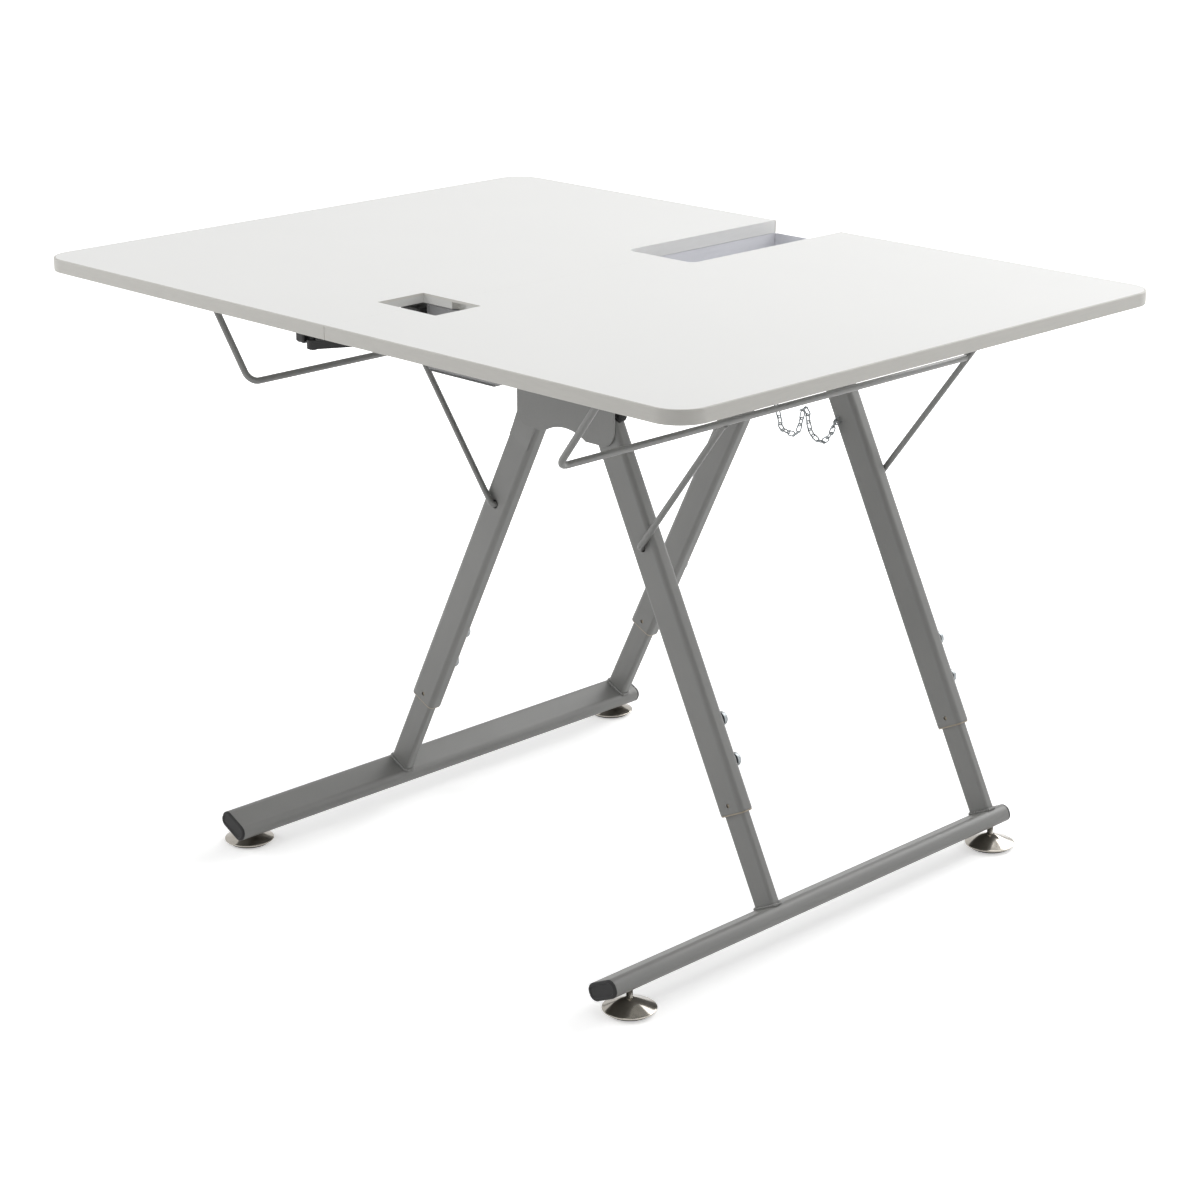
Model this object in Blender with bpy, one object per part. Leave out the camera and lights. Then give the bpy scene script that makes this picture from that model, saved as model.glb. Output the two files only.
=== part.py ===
"""Folding quilting machine table: two drop leaves on a folding A-frame with telescopic legs.

Units are metres, +Z is up. X is the width, to the right of someone sitting at the table, and Y is the
depth, away from them. The origin is on the floor, midway in depth between the top's front edge and the
rearmost of the levelling feet and lock nuts.
"""
import math

import bmesh
import bpy
from mathutils import Matrix, Vector
from mathutils.geometry import interpolate_bezier

for old_object in list(bpy.data.objects):
    bpy.data.objects.remove(old_object, do_unlink=True)

# Clearances
FIT_GAP = 0.0003
SEAM_GAP = 0.0006

# Table top
TABLE_WIDTH = 1.050
TABLE_DEPTH = 0.788
BAR_OVERHANG = 0.013
TABLE_HEIGHT = 0.738
TOP_THICKNESS = 0.016
CORNER_RADIUS = 0.037
BAND_THICKNESS = 0.002
ARRIS = 0.0012
NOTCH_WIDTH = 0.108
NOTCH_LENGTH = 0.270
NOTCH_CORNER = 0.010
CUTOUT_WIDTH = 0.096
CUTOUT_LENGTH = 0.068
CUTOUT_SETBACK = 0.1165
CUTOUT_CORNER = 0.0015
RELIEF_WIDTH = 0.017
RELIEF_DEPTH = 0.005
POCKET_WIDTH = 0.024
POCKET_DEPTH = 0.012
POCKET_SKIN = 0.003

# Machine tray and bracket plates
TRAY_WALL = 0.002
TRAY_CLEAR = 0.0005
TRAY_DEPTH = 0.077
TRAY_SETBACK = 0.0125
EAR_PAST_HINGE = 0.0027
EAR_DEPTH = 0.0275
EAR_HEIGHT = 0.045
EAR_LEAD = 0.012
EAR_DROP = 0.0035
PLATE_THICKNESS = 0.003
PLATE_WIDTH = 0.162
PLATE_HEIGHT = 0.175
PLATE_CORNER = 0.018
ARCH_WIDTH = 0.070
ARCH_RISE = 0.010

# Legs
LEG_ANGLE = math.radians(26.3)
PIVOT_X = 0.0418
PIVOT_DROP = 0.117
FRONT_LEG_SETBACK = 0.3722
BACK_LEG_INSET = 0.013
OUTER_WIDTH = 0.040
OUTER_DEPTH = 0.021
OUTER_WALL = 0.0015
OUTER_ABOVE = 0.025
OUTER_BELOW = 0.513
TUBE_CORNER = 0.006
INNER_WIDTH = 0.032
INNER_DEPTH = 0.0135
INNER_WALL = 0.0015
INNER_CORNER = 0.0035
INNER_HEADROOM = 0.032
HEIGHT_TRAVEL = 0.120
BUSH_FLANGE = 0.0015
BUSH_SLEEVE = 0.030
SNAP_HOLE_RADIUS = 0.0025
SNAP_HOLE_RISE = 0.0102

# Bolts
LOCK_BOLT_RISES = (0.108, 0.058)
LOCK_BOLT_RADIUS = 0.003
LOCK_HEAD_RADIUS = 0.0065
LOCK_HEAD_HEIGHT = 0.023
PIVOT_BOLT_RADIUS = 0.004
PIVOT_HEAD_RADIUS = 0.0075
PIVOT_HEAD_HEIGHT = 0.004
BUMPER_RADIUS = 0.006
BUMPER_LENGTH = 0.009
BUMPER_DROP = 0.0365

# Foot bars and glides
BAR_WIDTH = 0.044
BAR_HEIGHT = 0.0215
BAR_WALL = 0.0015
BAR_CORNER = 0.0095
BAR_Z = 0.0322
BAR_REACH = 0.278
CAP_FLANGE = 0.003
CAP_PLUG = 0.018
GLIDE_FRONT_INSET = 0.034
GLIDE_BACK_INSET = 0.027
GLIDE_OFFSET = 0.010
GLIDE_RADIUS = 0.031
GLIDE_RIM = 0.0025
GLIDE_HEIGHT = 0.0165
GLIDE_NECK = 0.006
DOME_CURVE = 0.8
STUD_RADIUS = 0.0035
STUD_TOP = 0.042
PAD_RADIUS = 0.026
PAD_HEIGHT = 0.003

# Leaf supports
ROD_DIAMETER = 0.008
STRUT_DIAMETER = 0.0076
ROD_PHASE = math.radians(7)
ROD_BEND = 0.014
ROD_STANDOFF = 0.001
STRUT_PIVOT_DROP = 0.1875
STRUT_TILT = math.radians(37.0)
CROSSBAR_RISE = 0.220
BAIL_REACH = 0.275
BAIL_FOOT = 0.032
PIN_DEPTH = 0.010
CATCH_THICKNESS = 0.003
CATCH_OUT = 0.014
CATCH_IN = 0.010
CATCH_END = 0.006

# Leaf hinges
HINGE_X = 0.087
HINGE_DROP = 0.0055
KNUCKLE_RADIUS = 0.005
HINGE_PIN_RADIUS = 0.003
KNUCKLE_LENGTH = 0.020
STRAP_REACH = 0.060
STRAP_THICKNESS = 0.0025

# Seam latch and chain
LATCH_X = -0.050
LATCH_SETBACK = 0.025
LATCH_BASE = (0.014, 0.014, 0.016)
LATCH_BASE_SETOFF = 0.016
LEVER_LENGTH = 0.064
LEVER_ANGLE = math.radians(45)
LEVER_WIDTH = 0.014
LEVER_THICKNESS = 0.010
LEVER_DROP = 0.011
LATCH_SCREW_RADIUS = 0.003
LATCH_HEAD_RADIUS = 0.005
LATCH_HEAD_HEIGHT = 0.003
CHAIN_RADIUS = 0.003
CHAIN_OFFSET = 0.007
CHAIN_ENDS = ((0.015, 0.035), (-0.013, 0.100))
CHAIN_HANGS = ((0.231, 0.109), (0.275, 0.125), (0.468, 0.129), (0.535, 0.112), (0.566, 0.0955),
               (0.592, 0.0915), (0.618, 0.0955), (0.650, 0.113), (0.70, 0.1245), (0.818, 0.1306),
               (0.905, 0.124), (0.972, 0.111))
CHAIN_STEPS = 5

# Places that follow from the sizes above
UNDERSIDE = TABLE_HEIGHT - TOP_THICKNESS
HALF_WIDTH = TABLE_WIDTH / 2
GLIDE_REACH = BAR_OVERHANG + max(0, GLIDE_RADIUS - GLIDE_BACK_INSET)
LOCK_REACH = OUTER_DEPTH / 2 + FIT_GAP + LOCK_HEAD_HEIGHT - BACK_LEG_INSET
BACK_REACH = max(GLIDE_REACH, LOCK_REACH)
TOP_FRONT = -(TABLE_DEPTH + BACK_REACH) / 2
TOP_BACK = TOP_FRONT + TABLE_DEPTH
NOTCH_FRONT = TOP_BACK - NOTCH_LENGTH
CUTOUT_FRONT = TOP_FRONT + CUTOUT_SETBACK
CUTOUT_BACK = CUTOUT_FRONT + CUTOUT_LENGTH
FRONT_LEG_Y = TOP_FRONT + FRONT_LEG_SETBACK
BACK_LEG_Y = TOP_BACK - BACK_LEG_INSET
PIVOT_Z = UNDERSIDE - PIVOT_DROP
HINGE_Z = UNDERSIDE - HINGE_DROP
LOCK_BOLT_DROPS = tuple(OUTER_BELOW - rise for rise in LOCK_BOLT_RISES)
INNER_TOP = min(LOCK_BOLT_DROPS) - HEIGHT_TRAVEL - LOCK_BOLT_RADIUS - INNER_HEADROOM
ROD_RADIUS = ROD_DIAMETER / 2
FRAME_TOP = UNDERSIDE - FIT_GAP
TRAY_BOTTOM = FRAME_TOP - TRAY_DEPTH
TRAY_HALF = NOTCH_WIDTH / 2 + TRAY_CLEAR + TRAY_WALL
FRONT_PLATE_BACK = FRONT_LEG_Y - OUTER_DEPTH / 2 - FIT_GAP
BACK_PLATE_FRONT = BACK_LEG_Y + OUTER_DEPTH / 2 + FIT_GAP
TRAY_FRONT = CUTOUT_BACK + TRAY_SETBACK
TRAY_BACK = BACK_PLATE_FRONT + PLATE_THICKNESS
BAR_FRONT = FRONT_LEG_Y - BAR_REACH
BAR_BACK = TOP_BACK + BAR_OVERHANG
BAR_DROP = (PIVOT_Z - BAR_Z) / math.cos(LEG_ANGLE)
GLIDE_X = PIVOT_X + BAR_DROP * math.sin(LEG_ANGLE) + GLIDE_OFFSET
STRUT_X = PIVOT_X + STRUT_PIVOT_DROP * math.sin(LEG_ANGLE)
STRUT_Z = PIVOT_Z - STRUT_PIVOT_DROP * math.cos(LEG_ANGLE)
BAIL_FRONT_Y = FRONT_LEG_Y - BAIL_REACH
TIP_Z = UNDERSIDE - FIT_GAP - CATCH_THICKNESS - FIT_GAP - ROD_RADIUS
TIP_RISE = (TIP_Z - STRUT_Z) / math.cos(STRUT_TILT)
CATCH_LIP = (ROD_RADIUS + FIT_GAP) * (1 - math.tan(STRUT_TILT / 2))
STRUT_FRONT_Y = FRONT_LEG_Y - OUTER_DEPTH / 2 - ROD_STANDOFF - ROD_RADIUS
STRUT_BACK_Y = BACK_LEG_Y + OUTER_DEPTH / 2 + ROD_STANDOFF + ROD_RADIUS
LEGS = (("front", FRONT_LEG_Y), ("back", BACK_LEG_Y))
SIDES = (("left", -1), ("right", 1))

# Mesh fineness
ARC_STEPS = 4
ROUND_STEPS = 24
ROD_SIDES = 12
BEND_STEPS = 5
DOME_STEPS = 5

# Finishes: colour, roughness, metallic
LAMINATE = ((0.86, 0.86, 0.85), 0.45, 0.0)
EDGING = ((0.62, 0.62, 0.60), 0.5, 0.0)
GREY_PAINT = ((0.21, 0.21, 0.205), 0.4, 0.3)
TRAY_STEEL = ((0.48, 0.48, 0.52), 0.45, 0.5)
ZINC = ((0.60, 0.60, 0.60), 0.3, 1.0)
NICKEL = ((0.55, 0.52, 0.48), 0.2, 1.0)
BLACK_PLASTIC = ((0.015, 0.015, 0.017), 0.5, 0.0)
IVORY_PLASTIC = ((0.75, 0.72, 0.62), 0.5, 0.0)


def make_material(name, finish):
    """A Principled material of its own for one sub-part."""
    colour, roughness, metallic = finish
    material = bpy.data.materials.new(name)
    material.use_nodes = True
    shader = material.node_tree.nodes["Principled BSDF"]
    shader.inputs["Base Color"].default_value = (*colour, 1.0)
    shader.inputs["Roughness"].default_value = roughness
    shader.inputs["Metallic"].default_value = metallic
    return material


def make_frame(name, location, turn=0.0, parent=None):
    """An empty on a joint's axis, turned about Y; its children are modelled in its axes."""
    empty = bpy.data.objects.new(name, None)
    bpy.context.collection.objects.link(empty)
    empty.location = location
    empty.rotation_euler = (0.0, turn, 0.0)
    empty.parent = parent
    bpy.context.view_layer.update()
    return empty


def make_object(name, mesh_data, finish=None, parent=None, local=False):
    """Turns a bmesh into a named object; world coordinates move into the parent's axes."""
    bmesh.ops.recalc_face_normals(mesh_data, faces=mesh_data.faces)
    if parent and not local:
        bmesh.ops.transform(mesh_data, matrix=parent.matrix_world.inverted(), verts=mesh_data.verts)
    mesh = bpy.data.meshes.new(name)
    mesh_data.to_mesh(mesh)
    mesh_data.free()
    mesh.shade_smooth()
    mesh.set_sharp_from_angle(angle=math.radians(35))
    piece = bpy.data.objects.new(name, mesh)
    bpy.context.collection.objects.link(piece)
    piece.parent = parent
    if finish:
        mesh.materials.append(make_material(name, finish))
    return piece


def combine(piece, name, mesh_data, operation, local=False):
    """Adds a Boolean with a hidden helper that shares the piece's parent."""
    helper = make_object(name, mesh_data, parent=piece.parent, local=local)
    helper.hide_render = True
    helper.display_type = "WIRE"
    modifier = piece.modifiers.new(name, "BOOLEAN")
    modifier.operation = operation
    modifier.object = helper


def rounded(corners):
    """An outline through (x, y, radius) corners, each rounded by an arc."""
    points = []
    for index, (x, y, radius) in enumerate(corners):
        here = Vector((x, y))
        if radius <= 0.0:
            points.append(here)
            continue
        before = (Vector(corners[index - 1][:2]) - here).normalized()
        after = (Vector(corners[(index + 1) % len(corners)][:2]) - here).normalized()
        half = before.angle(after) / 2
        centre = here + (before + after).normalized() * (radius / math.sin(half))
        start = here + before * (radius / math.tan(half)) - centre
        sweep = start.angle_signed(here + after * (radius / math.tan(half)) - centre)
        for step in range(ARC_STEPS + 1):
            turn = Matrix.Rotation(-sweep * step / ARC_STEPS, 2)
            points.append(centre + turn @ start)
    return points


def rectangle(width, depth, radius, x=0.0, y=0.0):
    """A rounded rectangle about a centre."""
    w, d = width / 2, depth / 2
    corners = ((x - w, y - d), (x + w, y - d), (x + w, y + d), (x - w, y + d))
    return rounded([(*corner, radius) for corner in corners])


def circle(radius, x=0.0, y=0.0, steps=ROUND_STEPS):
    """A circle about a centre."""
    angles = [2 * math.pi * step / steps for step in range(steps)]
    return [Vector((x + radius * math.cos(a), y + radius * math.sin(a))) for a in angles]


def flat(outline, z):
    """An outline laid level at a height."""
    return [Vector((point.x, point.y, z)) for point in outline]


def upright(outline, y):
    """An outline of X and Z stood in the plane of one depth."""
    return [Vector((point.x, y, point.y)) for point in outline]


def across(outline, x):
    """An outline of Y and Z stood in the plane of one width."""
    return [Vector((x, point.x, point.y)) for point in outline]


def loft(loops, ring=False):
    """A closed skin through loops of equal length: capped at both ends, or joined into a ring."""
    mesh_data = bmesh.new()
    rows = [[mesh_data.verts.new(point) for point in loop] for loop in loops]
    pairs = list(zip(rows, rows[1:])) + ([(rows[-1], rows[0])] if ring else [])
    for low, high in pairs:
        for index in range(len(low)):
            after = (index + 1) % len(low)
            mesh_data.faces.new((low[index], low[after], high[after], high[index]))
    if not ring:
        mesh_data.faces.new(rows[0][::-1])
        mesh_data.faces.new(rows[-1])
    return mesh_data


def box(low, high):
    """A box between two corners."""
    corners = ((low[0], low[1]), (high[0], low[1]), (high[0], high[1]), (low[0], high[1]))
    outline = [Vector(corner) for corner in corners]
    return loft([flat(outline, low[2]), flat(outline, high[2])])


def turned(profile, place):
    """A turned solid from (radius, height) steps, stood by a placing function for outlines."""
    return loft([place(circle(radius), height) for radius, height in profile])


def smooth_path(corners, bend):
    """A path through corners with each inner corner bent to a radius."""
    path = [corners[0]]
    for before, here, after in zip(corners, corners[1:], corners[2:]):
        inward, outward = (before - here).normalized(), (after - here).normalized()
        half = inward.angle(outward) / 2
        centre = here + (inward + outward).normalized() * (bend / math.sin(half))
        start = here + inward * (bend / math.tan(half)) - centre
        end = here + outward * (bend / math.tan(half)) - centre
        for step in range(BEND_STEPS + 1):
            path.append(centre + bend * start.slerp(end, step / BEND_STEPS))
    return path + [corners[-1]]


def sweep_tube(path, radius, sides=ROD_SIDES, phase=0.0):
    """A round tube along a path, with a frame carried along it without twist."""
    loops = []
    tangent = (path[1] - path[0]).normalized()
    normal = Matrix.Rotation(phase, 3, tangent) @ tangent.orthogonal().normalized()
    for index, point in enumerate(path):
        ahead = path[min(index + 1, len(path) - 1)] - point
        behind = point - path[max(index - 1, 0)]
        bisector = (ahead.normalized() + behind.normalized()).normalized()
        normal = tangent.rotation_difference(bisector) @ normal
        tangent = bisector
        side = tangent.cross(normal)
        loops.append([point + radius * (math.cos(a) * normal + math.sin(a) * side)
                      for a in (2 * math.pi * step / sides for step in range(sides))])
    return loft(loops)


def mirrored(outline, side):
    """An outline of the right half, mirrored for the left half."""
    return [Vector((point.x * side, point.y)) for point in outline]


def leaf_outline(inset):
    """The right leaf inside its edge band, with its share of the cut-out and the notch."""
    seam, right = SEAM_GAP / 2, HALF_WIDTH - inset
    front, back = TOP_FRONT + inset, TOP_BACK - inset
    corner = CORNER_RADIUS - inset
    hole_side = CUTOUT_WIDTH / 2
    return rounded([
        (seam, front, 0), (right, front, corner), (right, back, corner), (NOTCH_WIDTH / 2, back, 0),
        (NOTCH_WIDTH / 2, NOTCH_FRONT, NOTCH_CORNER), (seam, NOTCH_FRONT, 0), (seam, CUTOUT_BACK, 0),
        (hole_side, CUTOUT_BACK, CUTOUT_CORNER), (hole_side, CUTOUT_FRONT, CUTOUT_CORNER),
        (seam, CUTOUT_FRONT, 0)])


def band_outline():
    """The edge band of the right leaf: a strip along its front, side and back."""
    seam, inset = SEAM_GAP / 2, BAND_THICKNESS
    right, corner = HALF_WIDTH, CORNER_RADIUS
    return rounded([
        (seam, TOP_FRONT, 0), (right, TOP_FRONT, corner), (right, TOP_BACK, corner),
        (NOTCH_WIDTH / 2, TOP_BACK, 0),
        (NOTCH_WIDTH / 2, TOP_BACK - inset, 0), (right - inset, TOP_BACK - inset, corner - inset),
        (right - inset, TOP_FRONT + inset, corner - inset), (seam, TOP_FRONT + inset, 0)])


def build_leaf(name, side):
    """One half of the top with its edge band, catch rail and hinge straps, carried at the hinge line."""
    hinge = make_frame(f"{name}_leaf_hinge", (side * HINGE_X, 0, HINGE_Z))
    outline = mirrored(leaf_outline(BAND_THICKNESS + FIT_GAP), side)
    board = loft([flat(outline, UNDERSIDE), flat(outline, TABLE_HEIGHT)])
    leaf = make_object(f"{name}_leaf", board, LAMINATE, hinge)
    relief = box((-CUTOUT_WIDTH / 2 - RELIEF_WIDTH, CUTOUT_FRONT - RELIEF_WIDTH, UNDERSIDE - RELIEF_DEPTH),
                 (CUTOUT_WIDTH / 2 + RELIEF_WIDTH, CUTOUT_BACK + RELIEF_WIDTH, UNDERSIDE + RELIEF_DEPTH))
    combine(leaf, f"{name}_relief", relief, "DIFFERENCE")
    if side > 0:
        pocket = box((-POCKET_WIDTH, CUTOUT_BACK - POCKET_DEPTH, UNDERSIDE - POCKET_SKIN),
                     (POCKET_WIDTH, CUTOUT_BACK + POCKET_DEPTH, TABLE_HEIGHT - POCKET_SKIN))
        combine(leaf, f"{name}_pocket", pocket, "DIFFERENCE")
    band = mirrored(band_outline(), side)
    strip = loft([flat(band, UNDERSIDE), flat(band, TABLE_HEIGHT)])
    edge = make_object(f"{name}_edge_band", strip, EDGING, hinge)
    soften = edge.modifiers.new("arris", "BEVEL")
    soften.width = ARRIS / 2
    soften.limit_method = "ANGLE"
    build_catch(name, side, hinge)
    for place, y, away in (("front", FRONT_PLATE_BACK, 1), ("back", BACK_PLATE_FRONT, -1)):
        build_hinge(f"{name}_{place}", side, y + away * FIT_GAP, away, hinge)


def build_catch(name, side, hinge):
    """The rail below a leaf that the feet of its support rest against, with a lip on the inner side."""
    tip_x = STRUT_X + TIP_RISE * math.sin(STRUT_TILT)
    top, face = UNDERSIDE - FIT_GAP, UNDERSIDE - FIT_GAP - CATCH_THICKNESS
    lip_face = tip_x - ROD_RADIUS - FIT_GAP
    section = [Vector((side * x, z)) for x, z in (
        (lip_face - CATCH_IN, top), (tip_x + CATCH_OUT, top), (tip_x + CATCH_OUT, face),
        (lip_face, face), (lip_face, face - CATCH_LIP), (lip_face - CATCH_IN, face - CATCH_LIP))]
    front = BAIL_FRONT_Y - ROD_RADIUS - CATCH_END
    back = TOP_BACK - BAND_THICKNESS - FIT_GAP
    rail = loft([upright(section, front), upright(section, back)])
    make_object(f"{name}_catch_rail", rail, BLACK_PLASTIC, hinge)


def build_hinge(name, side, start, away, hinge):
    """A fixed knuckle with its pin beside a bracket plate, and the strap that turns on it."""
    middle, end = start + away * KNUCKLE_LENGTH, start + away * (2 * KNUCKLE_LENGTH + FIT_GAP)
    inner = TRAY_HALF + FIT_GAP
    low, high = HINGE_Z - KNUCKLE_RADIUS, HINGE_Z + KNUCKLE_RADIUS
    arc = KNUCKLE_RADIUS * 0.999
    section = mirrored(rounded([(inner, low, 0), (HINGE_X + KNUCKLE_RADIUS, low, arc),
                                (HINGE_X + KNUCKLE_RADIUS, high, arc), (inner, high, 0)]), side)
    knuckle_block = loft([upright(section, start), upright(section, middle)])
    knuckle = make_object(f"{name}_hinge_knuckle", knuckle_block, GREY_PAINT)
    pin = circle(HINGE_PIN_RADIUS, side * HINGE_X, HINGE_Z)
    half_way = (start + middle) / 2
    combine(knuckle, f"{name}_hinge_pin", loft([upright(pin, half_way), upright(pin, end)]), "UNION")
    strap_start = middle + away * FIT_GAP
    barrel = circle(KNUCKLE_RADIUS, side * HINGE_X, HINGE_Z)
    roll = loft([upright(barrel, strap_start), upright(barrel, end)])
    strap = make_object(f"{name}_hinge_strap", roll, ZINC, hinge)
    top = UNDERSIDE - FIT_GAP
    ends = sorted((strap_start, end))
    reach = sorted((side * HINGE_X, side * (HINGE_X + STRAP_REACH)))
    sheet = box((reach[0], ends[0], top - STRAP_THICKNESS), (reach[1], ends[1], top))
    combine(strap, f"{name}_strap_plate", sheet, "UNION")
    bore = circle(HINGE_PIN_RADIUS + FIT_GAP, side * HINGE_X, HINGE_Z)
    bore_cut = loft([upright(bore, half_way), upright(bore, end + away * KNUCKLE_LENGTH)])
    combine(strap, f"{name}_strap_bore", bore_cut, "DIFFERENCE")


def build_tray():
    """The open sheet tray below the notch, which also ties the two bracket plates together."""
    middle = (TRAY_FRONT + TRAY_BACK) / 2
    length = TRAY_BACK - TRAY_FRONT
    outer = rectangle(2 * TRAY_HALF, length, TRAY_WALL, 0, middle)
    inner = rectangle(2 * (TRAY_HALF - TRAY_WALL), length - 2 * TRAY_WALL, TRAY_WALL / 2, 0, middle)
    loops = [flat(outer, TRAY_BOTTOM), flat(outer, FRAME_TOP), flat(inner, FRAME_TOP),
             flat(inner, TRAY_BOTTOM + TRAY_WALL)]
    tray = make_object("machine_tray", loft(loops), TRAY_STEEL)
    ear_front, ear_top = TRAY_FRONT - EAR_LEAD, FRAME_TOP - EAR_DROP
    ear = box((-HINGE_X - EAR_PAST_HINGE, ear_front, ear_top - EAR_HEIGHT),
              (-TRAY_HALF + TRAY_WALL / 2, ear_front + EAR_DEPTH, ear_top))
    combine(tray, "tray_ear", ear, "UNION")


def build_plates():
    """The two bracket plates at the top of the A-frame, arched below and notched round the tray."""
    half, gap = PLATE_WIDTH / 2, TRAY_HALF + FIT_GAP
    bottom = FRAME_TOP - PLATE_HEIGHT
    arch = ARCH_WIDTH / 2
    radius = (arch ** 2 + ARCH_RISE ** 2) / (2 * ARCH_RISE)
    spread = math.asin(arch / radius)
    below = TRAY_BOTTOM - FIT_GAP
    outline = rounded([
        (-half, bottom, PLATE_CORNER), (-half, FRAME_TOP, 0), (-gap, FRAME_TOP, 0), (-gap, below, 0),
        (gap, below, 0), (gap, FRAME_TOP, 0), (half, FRAME_TOP, 0), (half, bottom, PLATE_CORNER)])
    for step in range(ROUND_STEPS // 2 + 1):
        angle = spread * (1 - 4 * step / ROUND_STEPS)
        rise = ARCH_RISE - radius * (1 - math.cos(angle))
        outline.append(Vector((radius * math.sin(angle), bottom + rise)))
    for name, face, away in (("front", FRONT_PLATE_BACK, -1), ("back", BACK_PLATE_FRONT, 1)):
        loops = [upright(outline, face), upright(outline, face + away * PLATE_THICKNESS)]
        plate = make_object(f"{name}_bracket_plate", loft(loops), GREY_PAINT)
        hole = circle(PIVOT_BOLT_RADIUS + FIT_GAP, PIVOT_X, PIVOT_Z)
        span = sorted((face - away * PLATE_THICKNESS, face + 2 * away * PLATE_THICKNESS))
        cutter = loft([upright(hole, depth) for depth in span])
        combine(plate, f"{name}_pivot_hole", cutter, "DIFFERENCE")


def tube(width, depth, wall, corner, y, top, bottom):
    """A rounded rectangular tube along Z."""
    outer = rectangle(width, depth, corner, 0, y)
    inner = rectangle(width - 2 * wall, depth - 2 * wall, corner - wall, 0, y)
    return loft([flat(outer, bottom), flat(outer, top), flat(inner, top), flat(inner, bottom)], ring=True)


def build_leg(name, side, place, y, frame, lower):
    """One telescopic leg in its frame's axes: outer tube, bush, inner tube and lock bolts."""
    outward = -1 if place == "front" else 1
    outer_tube = tube(OUTER_WIDTH, OUTER_DEPTH, OUTER_WALL, TUBE_CORNER, y, OUTER_ABOVE, -OUTER_BELOW)
    outer = make_object(f"{place}_{name}_outer_leg", outer_tube, GREY_PAINT, frame, local=True)
    for drop, radius, label in ((STRUT_PIVOT_DROP, ROD_RADIUS + FIT_GAP, "strut"),
                                (OUTER_BELOW - SNAP_HOLE_RISE, SNAP_HOLE_RADIUS, "snap")):
        face = y + outward * OUTER_DEPTH / 2 if label == "strut" else y - OUTER_DEPTH / 2
        hole = circle(radius, 0, -drop)
        drill = loft([upright(hole, face - 2 * OUTER_WALL), upright(hole, face + 2 * OUTER_WALL)])
        combine(outer, f"{place}_{name}_{label}_hole", drill, "DIFFERENCE", True)
    if side > 0:
        build_pivot(outer, f"{place}_{name}", y, outward)
        build_bumper(f"{place}_{name}", y, frame)
    foot = -BAR_DROP + BAR_HEIGHT / 2 + FIT_GAP
    inner_tube = tube(INNER_WIDTH, INNER_DEPTH, INNER_WALL, INNER_CORNER, y, -INNER_TOP, foot)
    inner = make_object(f"{place}_{name}_inner_leg", inner_tube, GREY_PAINT, lower, local=True)
    for number, drop in enumerate(LOCK_BOLT_DROPS, 1):
        bolt_name = f"{place}_{name}_lock_bolt_{number}"
        hole = circle(LOCK_BOLT_RADIUS + FIT_GAP, 0, -drop)
        drill = loft([upright(hole, y), upright(hole, y + OUTER_DEPTH)])
        combine(outer, f"{bolt_name}_hole", drill, "DIFFERENCE", True)
        build_lock_bolt(bolt_name, y, drop, frame)
    slot_low = -max(LOCK_BOLT_DROPS) - LOCK_BOLT_RADIUS - FIT_GAP
    slot_high = -min(LOCK_BOLT_DROPS) + HEIGHT_TRAVEL + LOCK_BOLT_RADIUS + FIT_GAP
    slot_half = LOCK_BOLT_RADIUS + FIT_GAP
    slot = box((-slot_half, y - OUTER_DEPTH, slot_low), (slot_half, y + OUTER_DEPTH, slot_high))
    combine(inner, f"{place}_{name}_slot", slot, "DIFFERENCE", True)
    build_bush(f"{place}_{name}_bush", y, frame)


def build_lock_bolt(name, y, drop, frame):
    """A bolt from behind through both tubes: a long hand nut outside, its tip inside the front wall."""
    seat = OUTER_DEPTH / 2 + FIT_GAP
    end = seat + LOCK_HEAD_HEIGHT
    tip = OUTER_WALL + FIT_GAP - OUTER_DEPTH / 2
    chamfer = LOCK_HEAD_RADIUS / 5
    profile = [(LOCK_BOLT_RADIUS, tip), (LOCK_BOLT_RADIUS, seat), (LOCK_HEAD_RADIUS, seat),
               (LOCK_HEAD_RADIUS, end - chamfer), (LOCK_HEAD_RADIUS - chamfer, end)]
    loops = [upright(circle(radius, 0, -drop, ROUND_STEPS // 2), y + depth) for radius, depth in profile]
    make_object(name, loft(loops), ZINC, frame, local=True)


def build_bush(name, y, frame):
    """The plastic bush at the mouth of an outer tube: a flange below it and a sleeve inside it."""
    bore_wall = (OUTER_WIDTH - 2 * OUTER_WALL, OUTER_DEPTH - 2 * OUTER_WALL)
    sleeve = rectangle(bore_wall[0] - 2 * FIT_GAP, bore_wall[1] - 2 * FIT_GAP, TUBE_CORNER - OUTER_WALL, 0, y)
    bore = rectangle(INNER_WIDTH + 2 * FIT_GAP, INNER_DEPTH + 2 * FIT_GAP, INNER_CORNER, 0, y)
    flange = rectangle(OUTER_WIDTH, OUTER_DEPTH, TUBE_CORNER, 0, y)
    seat = -OUTER_BELOW - FIT_GAP
    top = -OUTER_BELOW + BUSH_SLEEVE
    loops = [flat(bore, seat - BUSH_FLANGE), flat(flange, seat - BUSH_FLANGE), flat(flange, seat),
             flat(sleeve, seat), flat(sleeve, top), flat(bore, top)]
    make_object(name, loft(loops, ring=True), IVORY_PLASTIC, frame, local=True)


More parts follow.
